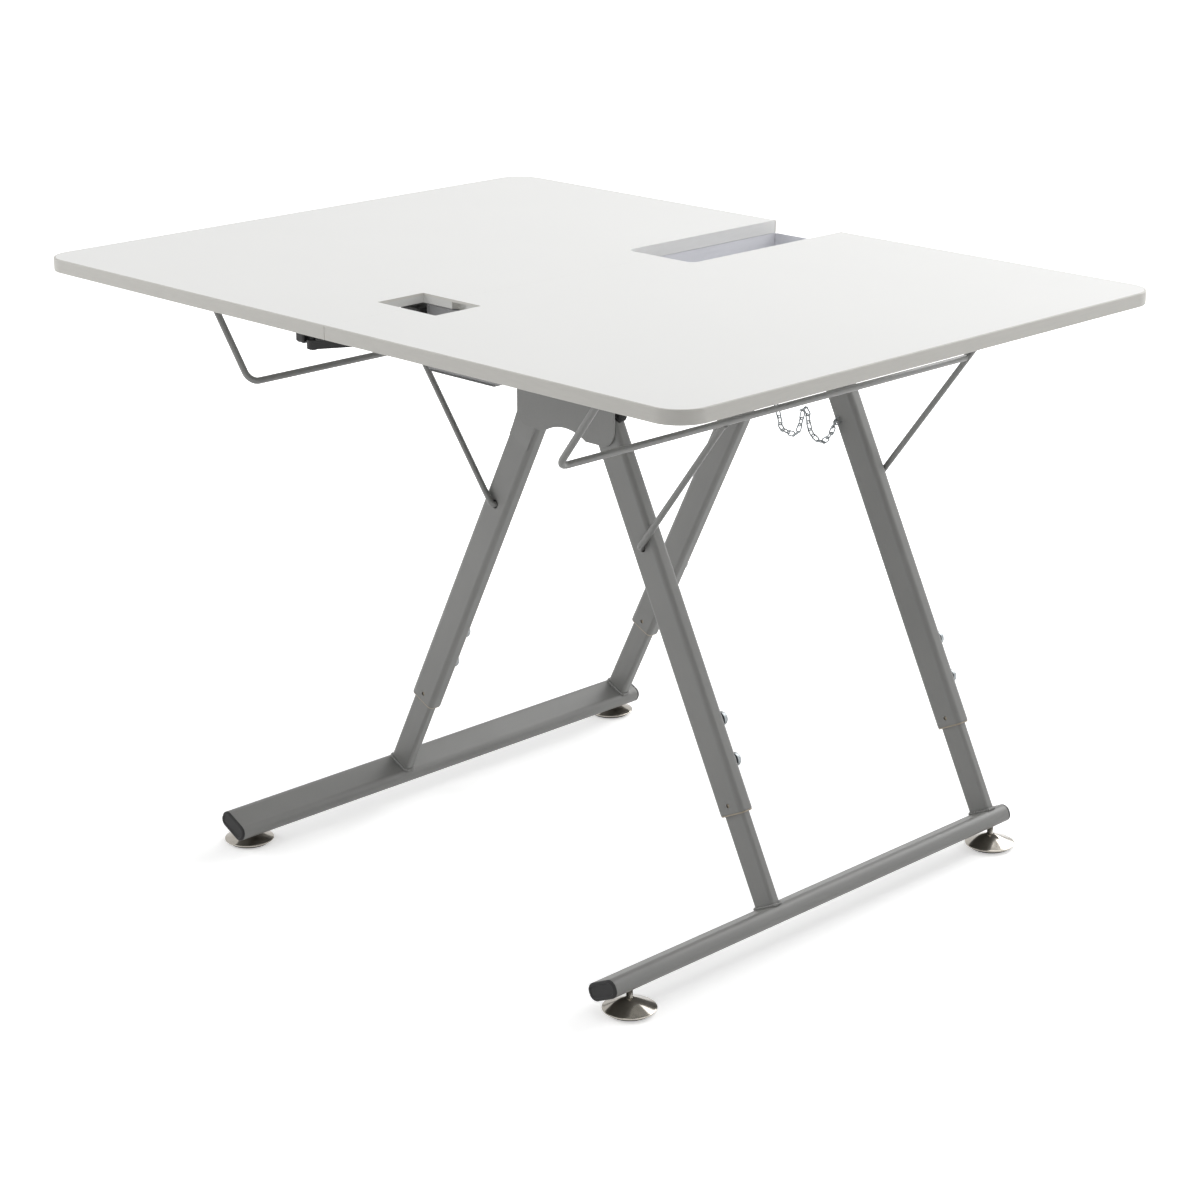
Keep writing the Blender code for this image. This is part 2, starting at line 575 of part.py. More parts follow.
def build_pivot(outer, name, y, outward):
    """The bolt that a right leg swings on, through its bracket plate."""
    radius = PIVOT_BOLT_RADIUS + FIT_GAP
    hole = circle(radius, 0, 0)
    drill = loft([upright(hole, y - OUTER_DEPTH), upright(hole, y + OUTER_DEPTH)])
    combine(outer, f"{name}_pivot_hole", drill, "DIFFERENCE", True)
    face = OUTER_DEPTH / 2 + FIT_GAP
    seat = face + PLATE_THICKNESS + FIT_GAP
    profile = [(PIVOT_HEAD_RADIUS, -face - PIVOT_HEAD_HEIGHT), (PIVOT_HEAD_RADIUS, -face),
               (PIVOT_BOLT_RADIUS, -face), (PIVOT_BOLT_RADIUS, seat),
               (PIVOT_HEAD_RADIUS, seat), (PIVOT_HEAD_RADIUS, seat + PIVOT_HEAD_HEIGHT)]
    loops = [upright(circle(r, PIVOT_X, PIVOT_Z), y + outward * d) for r, d in profile]
    make_object(f"{name}_pivot_bolt", loft(loops), ZINC)


def build_bumper(name, y, frame):
    """The rubber bumper on a right leg, below its pivot."""
    seat = OUTER_WIDTH / 2 + FIT_GAP
    profile = [(BUMPER_RADIUS, seat), (BUMPER_RADIUS, seat + BUMPER_LENGTH * 0.7),
               (BUMPER_RADIUS * 0.7, seat + BUMPER_LENGTH)]
    loops = [across(circle(radius, y, -BUMPER_DROP), x) for radius, x in profile]
    make_object(f"{name}_bumper", loft(loops), BLACK_PLASTIC, frame, local=True)


def bar_outline(grow):
    """The flat oval section of a foot bar, square to its legs, in the leg frame's X and Z."""
    return rectangle(BAR_WIDTH + 2 * grow, BAR_HEIGHT + 2 * grow, BAR_CORNER + grow, 0, -BAR_DROP)


def build_bar(name, side, lower):
    """A foot bar with its end caps, glides and pads."""
    front, back = BAR_FRONT + CAP_FLANGE + FIT_GAP, BAR_BACK - CAP_FLANGE - FIT_GAP
    outer, inner = bar_outline(0.0), bar_outline(-BAR_WALL)
    loops = [upright(outer, front), upright(outer, back), upright(inner, back), upright(inner, front)]
    bar = make_object(f"{name}_foot_bar", loft(loops, ring=True), GREY_PAINT, lower, local=True)
    plug = bar_outline(-BAR_WALL - FIT_GAP)
    crown = bar_outline(-CAP_FLANGE / 3)
    for place, end, inward in (("front", BAR_FRONT, 1), ("back", BAR_BACK, -1)):
        seat = end + inward * CAP_FLANGE
        loops = [upright(crown, end), upright(outer, end + inward * CAP_FLANGE / 3), upright(outer, seat),
                 upright(plug, seat), upright(plug, seat + inward * CAP_PLUG)]
        make_object(f"{place}_{name}_end_cap", loft(loops), BLACK_PLASTIC, lower, local=True)
    for place, y in (("front", BAR_FRONT + GLIDE_FRONT_INSET), ("back", BAR_BACK - GLIDE_BACK_INSET)):
        build_glide(f"{place}_{name}", side, y, bar, lower)


def build_glide(name, side, y, bar, lower):
    """A levelling glide: a domed disc on a threaded stud, with a pad below."""
    def place(outline, z):
        return flat([Vector((side * GLIDE_X + p.x, y + p.y)) for p in outline], z)

    foot = make_frame(f"{name}_glide_axis", lower.matrix_world.inverted() @ Vector((side * GLIDE_X, y, 0)),
                      -lower.matrix_world.to_euler().y, lower)
    rim = PAD_HEIGHT + FIT_GAP
    dome = [(GLIDE_RADIUS - GLIDE_RIM / 2, rim), (GLIDE_RADIUS, rim + GLIDE_RIM / 2)]
    for step in range(DOME_STEPS + 1):
        share = step / DOME_STEPS
        radius = GLIDE_RADIUS + (GLIDE_NECK - GLIDE_RADIUS) * share ** DOME_CURVE
        dome.append((radius, rim + GLIDE_RIM + (GLIDE_HEIGHT - rim - GLIDE_RIM) * share))
    dome += [(STUD_RADIUS, GLIDE_HEIGHT), (STUD_RADIUS, STUD_TOP)]
    make_object(f"{name}_glide", turned(dome, place), NICKEL, foot)
    pad = [(PAD_RADIUS - PAD_HEIGHT / 3, 0.0), (PAD_RADIUS, PAD_HEIGHT / 3), (PAD_RADIUS, PAD_HEIGHT)]
    make_object(f"{name}_pad", turned(pad, place), BLACK_PLASTIC, foot)
    hole = [(STUD_RADIUS + FIT_GAP, GLIDE_HEIGHT), (STUD_RADIUS + FIT_GAP, BAR_Z)]
    combine(bar, f"{name}_stud_hole", turned(hole, place), "DIFFERENCE")


def build_support(name, side, frame):
    """The welded rod frame that props a leaf: two struts pivoted on the legs, and a bail to the front."""
    axis = make_frame(f"{name}_support_pivot", (0, 0, -STRUT_PIVOT_DROP), 0.0, frame)

    def along(rise, y):
        out = STRUT_X + rise * math.sin(STRUT_TILT)
        return Vector((side * out, y, STRUT_Z + rise * math.cos(STRUT_TILT)))

    pin = ROD_RADIUS + ROD_STANDOFF + PIN_DEPTH
    back_strut = [along(0, STRUT_BACK_Y - pin), along(0, STRUT_BACK_Y), along(TIP_RISE, STRUT_BACK_Y),
                  along(TIP_RISE, STRUT_BACK_Y - BAIL_FOOT)]
    front_strut = [along(0, STRUT_FRONT_Y + pin), along(0, STRUT_FRONT_Y),
                   along(CROSSBAR_RISE, STRUT_FRONT_Y)]
    bail = [along(TIP_RISE, BAIL_FRONT_Y + BAIL_FOOT), along(TIP_RISE, BAIL_FRONT_Y),
            along(CROSSBAR_RISE, BAIL_FRONT_Y), along(CROSSBAR_RISE, STRUT_BACK_Y)]
    tight = ROD_RADIUS + ROD_STANDOFF
    bail_rod = sweep_tube(smooth_path(bail, ROD_BEND), ROD_RADIUS)
    support = make_object(f"{name}_leaf_support", bail_rod, GREY_PAINT, axis)
    for label, path in (("back_strut", back_strut), ("front_strut", front_strut)):
        bent = smooth_path(path[:3], tight)
        if len(path) > 3:
            bent = bent[:-1] + smooth_path([bent[-2]] + path[2:], ROD_BEND)[1:]
        combine(support, f"{name}_{label}", sweep_tube(bent, STRUT_DIAMETER / 2, phase=ROD_PHASE), "UNION")


def build_latch(hinge):
    """The turning latch below the seam, carried by the left leaf."""
    x, y = LATCH_X, TOP_FRONT + LATCH_SETBACK
    top = UNDERSIDE - FIT_GAP
    width, depth, height = LATCH_BASE
    right = x - LATCH_BASE_SETOFF / 2
    make_object("latch_base", box((right - width, y - depth / 2, top - height), (right, y + depth / 2, top)),
                BLACK_PLASTIC, hinge)
    pivot = make_frame("latch_pivot", (x - hinge.location.x, y, 0), 0.0, hinge)
    half = LEVER_WIDTH / 2
    lever_outline = rounded([(-half, -half, half * 0.999), (LEVER_LENGTH, -half, half * 0.999),
                             (LEVER_LENGTH, half, half * 0.999), (-half, half, half * 0.999)])
    turn = Matrix.Rotation(LEVER_ANGLE, 2)
    lever_outline = [turn @ point + Vector((x, y)) for point in lever_outline]
    lever_top = top - LEVER_DROP
    lever = make_object("latch_lever", loft([flat(lever_outline, lever_top - LEVER_THICKNESS),
                                             flat(lever_outline, lever_top)]), BLACK_PLASTIC, pivot)
    head = lever_top - LEVER_THICKNESS - LATCH_HEAD_HEIGHT

    def place(outline, z):
        return flat([point + Vector((x, y)) for point in outline], z)

    screw = [(LATCH_HEAD_RADIUS, head), (LATCH_HEAD_RADIUS, lever_top - LEVER_THICKNESS / 2),
             (LATCH_SCREW_RADIUS, lever_top - LEVER_THICKNESS / 2), (LATCH_SCREW_RADIUS, top)]
    combine(lever, "latch_screw", turned(screw, place), "UNION")


def build_chain():
    """The slack chain between the back legs, as a plain tube along its two loops."""
    face = BACK_LEG_Y - OUTER_DEPTH / 2 - FIT_GAP
    hang = face - CHAIN_OFFSET
    (left_in, left_drop), (right_in, right_drop) = CHAIN_ENDS
    left = left_in - PIVOT_X - left_drop * math.tan(LEG_ANGLE)
    right = right_in + PIVOT_X + right_drop * math.tan(LEG_ANGLE)
    hangs = [(left + (right - left) * share, drop) for share, drop in CHAIN_HANGS]
    keys = [Vector((x, hang, PIVOT_Z - drop)) for x, drop in [(left, left_drop), *hangs, (right, right_drop)]]
    path = [Vector((left, face, keys[0].z))]
    for before, here, after, beyond in zip([keys[0], *keys], keys, keys[1:], [*keys[2:], keys[-1]]):
        leave, arrive = here + (after - before) / 6, after - (beyond - here) / 6
        path += interpolate_bezier(here, leave, arrive, after, CHAIN_STEPS)[:-1]
    path += [keys[-1], Vector((right, face, keys[-1].z))]
    make_object("leg_chain", sweep_tube(path, CHAIN_RADIUS, 8), ZINC)


build_tray()
build_plates()
for side_name, side_sign in SIDES:
    build_leaf(side_name, side_sign)
    leg_pivot = (side_sign * PIVOT_X, 0, PIVOT_Z)
    leg_frame = make_frame(f"{side_name}_leg_frame", leg_pivot, -side_sign * LEG_ANGLE)
    lower_frame = make_frame(f"{side_name}_lower_frame", (0, 0, 0), 0.0, leg_frame)
    for leg_place, leg_y in LEGS:
        build_leg(side_name, side_sign, leg_place, leg_y, leg_frame, lower_frame)
    build_bar(side_name, side_sign, lower_frame)
    build_support(side_name, side_sign, leg_frame)
build_latch(bpy.data.objects["left_leaf_hinge"])
build_chain()
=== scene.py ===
# %% [markdown]
# # A folding quilting table, dressed for a studio photograph
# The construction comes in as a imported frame: every solid at its real size, grouped into bodies that
# move. This lesson dresses that frame. It gives each piece the shape that shows from a step away, such
# as rounded tubes, rolled rims, welds and chain links, and a finish that is worked out from noise and
# geometry alone.

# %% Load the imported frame
import math

import bmesh
import bpy
from mathutils import Matrix, Vector
from mathutils.geometry import interpolate_bezier


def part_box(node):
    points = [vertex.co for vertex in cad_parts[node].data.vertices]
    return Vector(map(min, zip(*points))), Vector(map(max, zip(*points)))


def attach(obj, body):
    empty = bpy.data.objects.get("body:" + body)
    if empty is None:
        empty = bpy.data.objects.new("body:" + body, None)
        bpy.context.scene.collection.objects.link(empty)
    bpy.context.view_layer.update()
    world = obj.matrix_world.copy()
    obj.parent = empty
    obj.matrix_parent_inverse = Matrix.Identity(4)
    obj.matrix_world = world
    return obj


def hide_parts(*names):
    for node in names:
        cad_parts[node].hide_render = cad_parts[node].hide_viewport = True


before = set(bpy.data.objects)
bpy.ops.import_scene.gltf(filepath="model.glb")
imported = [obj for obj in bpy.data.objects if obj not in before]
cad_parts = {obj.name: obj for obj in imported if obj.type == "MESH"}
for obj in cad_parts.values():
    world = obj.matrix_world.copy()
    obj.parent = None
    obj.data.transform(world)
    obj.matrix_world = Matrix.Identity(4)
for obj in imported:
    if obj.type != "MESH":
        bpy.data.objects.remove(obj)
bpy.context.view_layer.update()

# %% [markdown]
# ## Sizes
# What a box cannot say, such as a wall, a bend radius or the lean of a leg, is written here once, in
# metres.

# %% Sizes read from the frame and sizes of the construction
BOARD_LOW, BOARD_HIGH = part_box("right_leaf")
BAND_LOW, BAND_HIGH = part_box("right_edge_band")
TRAY_LOW, TRAY_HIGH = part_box("machine_tray")
UNDERSIDE, TOP_Z = BOARD_LOW.z, BOARD_HIGH.z
TOP_FRONT, TOP_BACK, TOP_SIDE = BAND_LOW.y, BAND_HIGH.y, BAND_HIGH.x
SEAM = 0.00004
GAP = 0.0003
BAND = TOP_SIDE - BOARD_HIGH.x - GAP
CORNER_RADIUS = 0.037
NOTCH_SIDE, NOTCH_FRONT, NOTCH_CORNER = BAND_LOW.x + 0.0537, TOP_BACK - 0.270, 0.010
CUTOUT_SIDE, CUTOUT_FRONT, CUTOUT_BACK = 0.048, TOP_FRONT + 0.1165, TOP_FRONT + 0.1845
CUTOUT_CORNER = 0.0015
RELIEF_WIDTH, RELIEF_DEPTH = 0.017, 0.005
POCKET_SIDE, POCKET_DEPTH, POCKET_SKIN = 0.024, 0.012, 0.003
LEG_LEAN = math.radians(26.3)
PIVOT_X, PIVOT_Z = 0.0418, 0.605
LEG_PLANES = {"front": TOP_FRONT + 0.3722, "back": TOP_BACK - 0.013}
OUTWARD = {"front": -1, "back": 1}
SIDES = {"left": -1, "right": 1}
print("top", round(2 * TOP_SIDE, 3), "x", round(TOP_BACK - TOP_FRONT, 3), "at", round(TOP_Z, 3))

# %% [markdown]
# ## Camera
# The photograph was matched with a long lens, from the front right and a little above. Setting the
# lens by its focal length keeps the perspective of the real picture, so edges line up with it.

# %% Camera at the photograph's place
CAMERA_PLACE = Vector((2.3068, -2.2983, 1.4209))
CAMERA_AZIMUTH, CAMERA_ELEVATION = math.radians(44.94), math.radians(18.47)
CAMERA_SENSOR, CAMERA_LENS = 36.0, 85.14


def added(name, data):
    """A new object in the scene."""
    thing = bpy.data.objects.new(name, data)
    bpy.context.collection.objects.link(thing)
    return thing


camera_data = bpy.data.cameras.new("photo_camera")
camera_data.sensor_width = CAMERA_SENSOR
camera_data.lens = CAMERA_LENS
camera = added("photo_camera", camera_data)
camera.location = CAMERA_PLACE
camera.rotation_euler = (math.pi / 2 - CAMERA_ELEVATION, 0.0, CAMERA_AZIMUTH)
bpy.context.scene.camera = camera
print("camera lens", camera_data.lens)

# %% [markdown]
# ## Shader maths that reads as maths
# A material is a graph of nodes. Wiring Math nodes by hand hides the idea, so `Signal` wraps a socket
# and turns `1 - mask` or `grain * 0.2` into the nodes behind it. `Graph` holds a tree, and its `node`
# method makes every other node: its type, its inputs, then its settings by name. `Finish` is the graph
# of one material.

# %% The socket wrapper
class Signal:
    """A socket that adds Math nodes when it is used in a sum."""

    def __init__(self, graph, socket):
        self.graph = graph
        self.socket = socket

    def math(self, operation, first, second):
        return self.graph.node("ShaderNodeMath", {0: first, 1: second}, operation=operation)

    def __add__(self, other):
        return self.math("ADD", self, other)

    def __rsub__(self, other):
        return self.math("SUBTRACT", other, self)

    def __mul__(self, other):
        return self.math("MULTIPLY", self, other)

    def __mod__(self, other):
        return self.math("MODULO", self, other)


# %% Graphs and finishes
class Graph:
    """A tree of nodes."""

    def __init__(self, tree):
        self.tree = tree

    def feed(self, socket, value):
        if isinstance(value, Signal):
            self.tree.links.new(value.socket, socket)
        else:
            socket.default_value = value

    def node(self, kind, inputs=None, out=0, **settings):
        made = self.tree.nodes.new(kind)
        for key, value in settings.items():
            setattr(made, key, value)
        for key, value in (inputs or {}).items():
            self.feed(made.inputs[key], value)
        return Signal(self, made.outputs[out])

    def ramp(self, value, start, end, low=0.0, high=1.0):
        inputs = {"Value": value, "From Min": start, "From Max": end, "To Min": low, "To Max": high}
        return self.node("ShaderNodeMapRange", inputs)


class Finish(Graph):
    """One procedural material on Object coordinates."""

    def __init__(self, name, colour, roughness, metallic=0.0):
        self.material = bpy.data.materials.new(name)
        self.material.use_nodes = True
        super().__init__(self.material.node_tree)
        self.shader = self.tree.nodes["Principled BSDF"]
        self.set("Base Color", (*colour, 1.0))
        self.set("Roughness", roughness)
        self.set("Metallic", metallic)
        self.place = self.node("ShaderNodeTexCoord", out="Object")

    def set(self, name, value):
        self.feed(self.shader.inputs[name], value)

    def noise(self, scale, detail, stretch=(1.0, 1.0, 1.0)):
        where = self.node("ShaderNodeMapping", {"Vector": self.place, "Scale": stretch})
        inputs = {"Vector": where, "Scale": scale, "Detail": detail}
        return self.node("ShaderNodeTexNoise", inputs, "Fac")

    def mix(self, factor, dark, light):
        inputs = {0: factor, 6: (*dark, 1.0), 7: (*light, 1.0)}
        return self.node("ShaderNodeMix", inputs, 2, data_type="RGBA")

    def bump(self, height, strength, distance):
        inputs = {"Height": height, "Strength": strength, "Distance": distance}
        self.set("Normal", self.node("ShaderNodeBump", inputs, "Normal"))


# %% [markdown]
# ## Finishes
# Each real surface has its own fine structure. Laminate has a faint pearl, edge banding has drawn
# streaks, powder paint has orange peel and specks, zinc has cloudy crystals, and moulded plastic has
# spark-eroded grain. Most of them need one noise only, so `grained` lets that noise move the colour,
# the roughness and the relief together. The scales are per metre, so 900 is a feature of about a
# millimetre.

# %% A finish from one noise
def shades(finish, factor, colour, dark, light):
    """Mixes a colour between a darker and a lighter share of itself."""
    shaded = [tuple(channel * share for channel in colour) for share in (dark, light)]
    finish.set("Base Color", finish.mix(factor, *shaded))


def grained(name, colour, roughness, noise, shares, gloss, relief=0.0, depth=0.0002, metallic=0.0):
    """A finish whose colour, roughness and relief all follow one noise."""
    finish = Finish(name, colour, roughness, metallic)
    grain = finish.noise(*noise)
    shades(finish, grain, colour, *shares)
    finish.set("Roughness", grain * gloss[0] + gloss[1])
    if relief:
        finish.bump(grain, relief, depth)
    return finish


# %% Board finishes: laminate, two edgings, backing, and a sawn core whose grey is partly painted shade under the skin
WHITE = (0.835, 0.835, 0.822)
EDGE_GREY, NOTCH_WHITE = (0.590, 0.578, 0.543), (0.86, 0.86, 0.845)
BACK_WHITE, CORE_AND_SHADE_GREY = (0.70, 0.70, 0.68), (0.60, 0.60, 0.58)
DRAWN, CHIPPED = (0.12, 0.12, 1.0), (1.0, 1.0, 2.5)
laminate = Finish("white_laminate", WHITE, 0.42)
pearl = laminate.noise(900.0, 2.0)
cloud = laminate.noise(7.0, 3.0)
shades(laminate, cloud * 0.6 + pearl * 0.4, WHITE, 0.985, 1.015)
laminate.set("Roughness", pearl * 0.12 + 0.50)
laminate.set("Specular IOR Level", 0.3)
laminate.bump(pearl, 0.05, 0.0002)
edging = grained("grey_edging", EDGE_GREY, 0.5, noise=(420.0, 3.0, DRAWN),
                 shares=(0.95, 1.05), gloss=(0.15, 0.42), relief=0.06)
notch_edging = grained("white_notch_edging", NOTCH_WHITE, 0.5, noise=(420.0, 3.0, DRAWN),
                       shares=(0.97, 1.03), gloss=(0.15, 0.40), relief=0.05)
backing = grained("leaf_backing", BACK_WHITE, 0.55, noise=(240.0, 5.0),
                  shares=(0.96, 1.03), gloss=(0.2, 0.45), relief=0.08)
core_and_shade = grained("sawn_core", CORE_AND_SHADE_GREY, 0.7, noise=(900.0, 4.0, CHIPPED),
               shares=(0.88, 1.10), gloss=(0.2, 0.60), relief=0.15, depth=0.0003)
print("nodes of the laminate:", len(laminate.tree.nodes), "and of the edging:", len(edging.tree.nodes))

# %% Paint on the tubes and on the rods
PAINT = (0.193, 0.193, 0.186)
paint = Finish("grey_powder_paint", PAINT, 0.4)
peel = paint.noise(520.0, 2.0)
speck = paint.noise(2600.0, 1.0)
patch = paint.noise(9.0, 3.0)
shades(paint, speck * 0.5 + patch * 0.5, PAINT, 0.76, 1.24)
paint.set("Roughness", peel * 0.14 + 0.38)
paint.bump(peel * 0.7 + speck * 0.3, 0.07, 0.0003)
paint.set("Specular IOR Level", 0.7)
rod_paint = grained("grey_rod_paint", PAINT, 0.4, noise=(60.0, 3.0),
                    shares=(0.94, 1.06), gloss=(0.10, 0.30))
rod_paint.set("Specular IOR Level", 0.8)
print("nodes of the powder paint:", len(paint.tree.nodes))

# %% Tray finishes: pale inside; outside a grey that is partly painted shade, with a painted shadow line along its lower edge
TRAY_BLUE, TRAY_SHADED_GREY, TRAY_LIP_SHADOW = (0.82, 0.825, 0.86), (0.30, 0.30, 0.305), (0.09, 0.09, 0.09)
ROLLED = (1.0, 0.08, 1.0)
LIP_SHADOW_LOW, LIP_SHADOW_HIGH = TRAY_LOW.z + 0.0018, TRAY_LOW.z + 0.0024
tray_paint = grained("tray_paint", TRAY_BLUE, 0.45, noise=(300.0, 3.0, ROLLED),
                     shares=(0.95, 1.05), gloss=(0.15, 0.38), relief=0.06)
# Outside: a grey that is partly painted shade for the dim space under the top.
tray_outside = Finish("tray_outside", TRAY_SHADED_GREY, 0.5)
dust = tray_outside.noise(300.0, 3.0, ROLLED)
tray_z = tray_outside.node("ShaderNodeSeparateXYZ", {0: tray_outside.place}, "Z")
# The lowest 2 mm of the outside is darkened to a painted shadow line along the bend.
above_lip_shadow = tray_outside.ramp(tray_z, LIP_SHADOW_LOW, LIP_SHADOW_HIGH)
tray_outside.set("Base Color", tray_outside.mix(above_lip_shadow * (dust * 0.2 + 0.9), TRAY_LIP_SHADOW, TRAY_SHADED_GREY))
tray_outside.set("Roughness", dust * 0.15 + 0.42)
print("tray lip from", round(TRAY_LOW.z, 4), "to", round(LIP_SHADOW_HIGH, 4))

# %% Plated metal, plastic and rubber finishes
ZINC, NICKEL = (0.29, 0.31, 0.32), (0.40, 0.375, 0.335)
BLACK, IVORY, SOOT = (0.012, 0.012, 0.0125), (0.42, 0.36, 0.28), (0.016, 0.016, 0.016)
zinc = grained("zinc_plate", ZINC, 0.3, noise=(350.0, 4.0),
               shares=(0.80, 1.15), gloss=(0.25, 0.20), relief=0.05, metallic=1.0)
nickel = grained("bright_nickel", NICKEL, 0.14, noise=(120.0, 4.0),
                 shares=(0.88, 1.12), gloss=(0.10, 0.09), relief=0.02, metallic=1.0)
black_plastic = grained("black_plastic", BLACK, 0.5, noise=(1500.0, 2.0),
                        shares=(0.8, 1.5), gloss=(0.2, 0.40), relief=0.12)
black_plastic.set("Specular IOR Level", 0.35)
ivory = grained("ivory_nylon", IVORY, 0.5, noise=(180.0, 3.0),
                shares=(0.94, 1.05), gloss=(0.15, 0.42))
rubber = grained("black_rubber", SOOT, 0.8, noise=(700.0, 4.0),
                 shares=(0.8, 1.8), gloss=(0.15, 0.70), relief=0.15, depth=0.0003)
print("finishes:", len([m for m in bpy.data.materials if m.use_nodes]))

# %% [markdown]
# ## Shape helpers
# Almost every piece of this table is a section carried along something: a tube along a leg, a strip
# along an edge, a rod along its bends, a profile round an axis. So one skin through a row of loops
# makes nearly all of them, and the helpers only lay the loops out.

# %% Outlines in a plane
ARC_STEPS = 8


def arc(before, here, after, radius, steps):
    """The points that round a corner to a radius."""
    back, on = (before - here).normalized(), (after - here).normalized()
    half = back.angle(on) / 2
    centre = here + (back + on).normalized() * (radius / math.sin(half))
    start, end = [here + way * (radius / math.tan(half)) - centre for way in (back, on)]
    return [centre + radius * start.slerp(end, step / steps) for step in range(steps + 1)]


def rounded(corners, steps=ARC_STEPS):
    """An outline through (x, y, radius) corners, each rounded by an arc."""
    spots = [Vector(corner[:2]) for corner in corners]
    points = []
    for index, here in enumerate(spots):
        radius, after = corners[index][2], spots[(index + 1) % len(spots)]
        points += arc(spots[index - 1], here, after, radius, steps) if radius > 0.0 else [here]
    return points


def rectangle(width, depth, radius, x=0.0, y=0.0, steps=ARC_STEPS):
    """A rounded rectangle about a centre."""
    w, d = width / 2, depth / 2
    corners = [(x - w, y - d), (x + w, y - d), (x + w, y + d), (x - w, y + d)]
    return rounded([(*corner, radius) for corner in corners], steps)


def ring(centre, radius, first, second, steps):
    """Points round a centre, in the plane of two directions."""
    turns = [2 * math.pi * step / steps for step in range(steps)]
    return [centre + radius * (math.cos(a) * first + math.sin(a) * second) for a in turns]


def circle(radius, x=0.0, y=0.0, steps=32):
    """A circle about a centre."""
    return ring(Vector((x, y)), radius, Vector((1, 0)), Vector((0, 1)), steps)


def mirrored(outline, side):
    """An outline of the right side, mirrored for the left."""
    return [Vector((p.x * side, p.y)) for p in outline]


def flat(outline, z):
    """An outline laid level."""
    return [Vector((p.x, p.y, z)) for p in outline]


def upright(outline, y):
    """An outline of X and Z at one depth."""
    return [Vector((p.x, y, p.y)) for p in outline]


print("points of a rounded square:", len(rectangle(1.0, 1.0, 0.1)))


# %% Skins
def skin(loops, hollow=False):
    """A closed skin through loops of equal length: with end faces, or hollow and back to the first loop."""
    mesh = bmesh.new()
    rows = [[mesh.verts.new(point) for point in loop] for loop in loops]
    pairs = list(zip(rows, rows[1:])) + ([(rows[-1], rows[0])] if hollow else [])
    for low, high in pairs:
        for index in range(len(low)):
            after = (index + 1) % len(low)
            mesh.faces.new((low[index], low[after], high[after], high[index]))
    if not hollow:
        mesh.faces.new(rows[0][::-1])
        mesh.faces.new(rows[-1])
    bmesh.ops.recalc_face_normals(mesh, faces=mesh.faces)
    return mesh


def slab(outline, start, end, place=flat):
    """An outline carried straight from one level to another."""
    return skin([place(outline, start), place(outline, end)])


def block(low, high):
    """A plain box between two corners, as a cutter."""
    corners = ((low[0], low[1]), (high[0], low[1]), (high[0], high[1]), (low[0], high[1]))
    return slab([Vector(corner) for corner in corners], low[2], high[2])


def turned(profile, steps=40):
    """A turned solid from (radius, height) steps."""
    return skin([flat(circle(radius, steps=steps), height) for radius, height in profile])


# %% Paths and rods
def bent(corners, bend):
    """A path through corners with each inner corner bent to a radius."""
    path = [corners[0]]
    for before, here, after in zip(corners, corners[1:], corners[2:]):
        path += arc(before, here, after, bend, 10)
    return path + [corners[-1]]


def heading(path, index):
    """Which way a path runs at one of its points."""
    ahead = path[min(index + 1, len(path) - 1)] - path[index]
    behind = path[index] - path[max(index - 1, 0)]
    return (ahead.normalized() + behind.normalized()).normalized()


def rod(path, radius):
    """A round rod along a path."""
    loops = []
    tangent = (path[1] - path[0]).normalized()
    normal = tangent.orthogonal().normalized()
    for index, point in enumerate(path):
        bisector = heading(path, index)
        normal = tangent.rotation_difference(bisector) @ normal
        tangent = bisector
        loops.append(ring(point, radius, normal, tangent.cross(normal), 20))
    return skin(loops)


# %% Joining, moving and baking
def joined(*parts):
    """Several bmeshes as one."""
    whole = bmesh.new()
    for part in parts:
        mesh = bpy.data.meshes.new("part")
        part.to_mesh(mesh)
        part.free()
        whole.from_mesh(mesh)
        bpy.data.meshes.remove(mesh)
    return whole


def moved(mesh, matrix):
    """A bmesh put in place by a matrix."""
    bmesh.ops.transform(mesh, matrix=matrix, verts=mesh.verts)
    return mesh


def bake(piece):
    """Turns a piece's live modifiers into its mesh."""
    shape = bpy.data.meshes.new_from_object(piece.evaluated_get(bpy.context.evaluated_depsgraph_get()))
    piece.modifiers.clear()
    piece.data = shape
    return shape


# %% Finished pieces
SOFT_EDGE, BEVEL_ANGLE = math.radians(32), math.radians(40)


def smooth(data):
    """Smooth shading that keeps hard edges hard."""
    data.shade_smooth()
    data.set_sharp_from_angle(angle=SOFT_EDGE)


def settle(piece, body, nodes):
    """Lets a piece ride on its body, in place of the nodes that it draws."""
    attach(piece, body)
    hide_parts(*nodes)


def solid(name, mesh):
    """A bmesh as an object."""
    data = bpy.data.meshes.new(name)
    mesh.to_mesh(data)
    mesh.free()
    return added(name, data)


def make(name, mesh, finishes, body, nodes, cutters=(), bevel=0.0):
    """A finished piece: cut, bevelled, shaded, dressed and riding on its body."""
    piece = solid(name, mesh)
    tools = [solid(f"{name}_cutter", cutter) for cutter in cutters]
    for tool in tools:
        cut = piece.modifiers.new("cut", "BOOLEAN")
        cut.operation = "DIFFERENCE"
        cut.object = tool
    if bevel:
        edge = piece.modifiers.new("edge", "BEVEL")
        edge.width = bevel
        edge.segments = 2
        edge.limit_method = "ANGLE"
        edge.angle_limit = BEVEL_ANGLE
    bake(piece)
    for tool in tools:
        bpy.data.objects.remove(tool, do_unlink=True)
    smooth(piece.data)
    piece.modifiers.new("flat_faces", "WEIGHTED_NORMAL").keep_sharp = True
    data = bake(piece)
    data.materials.clear()
    for finish in finishes:
        data.materials.append(finish.material)
    settle(piece, body, nodes)
    return piece


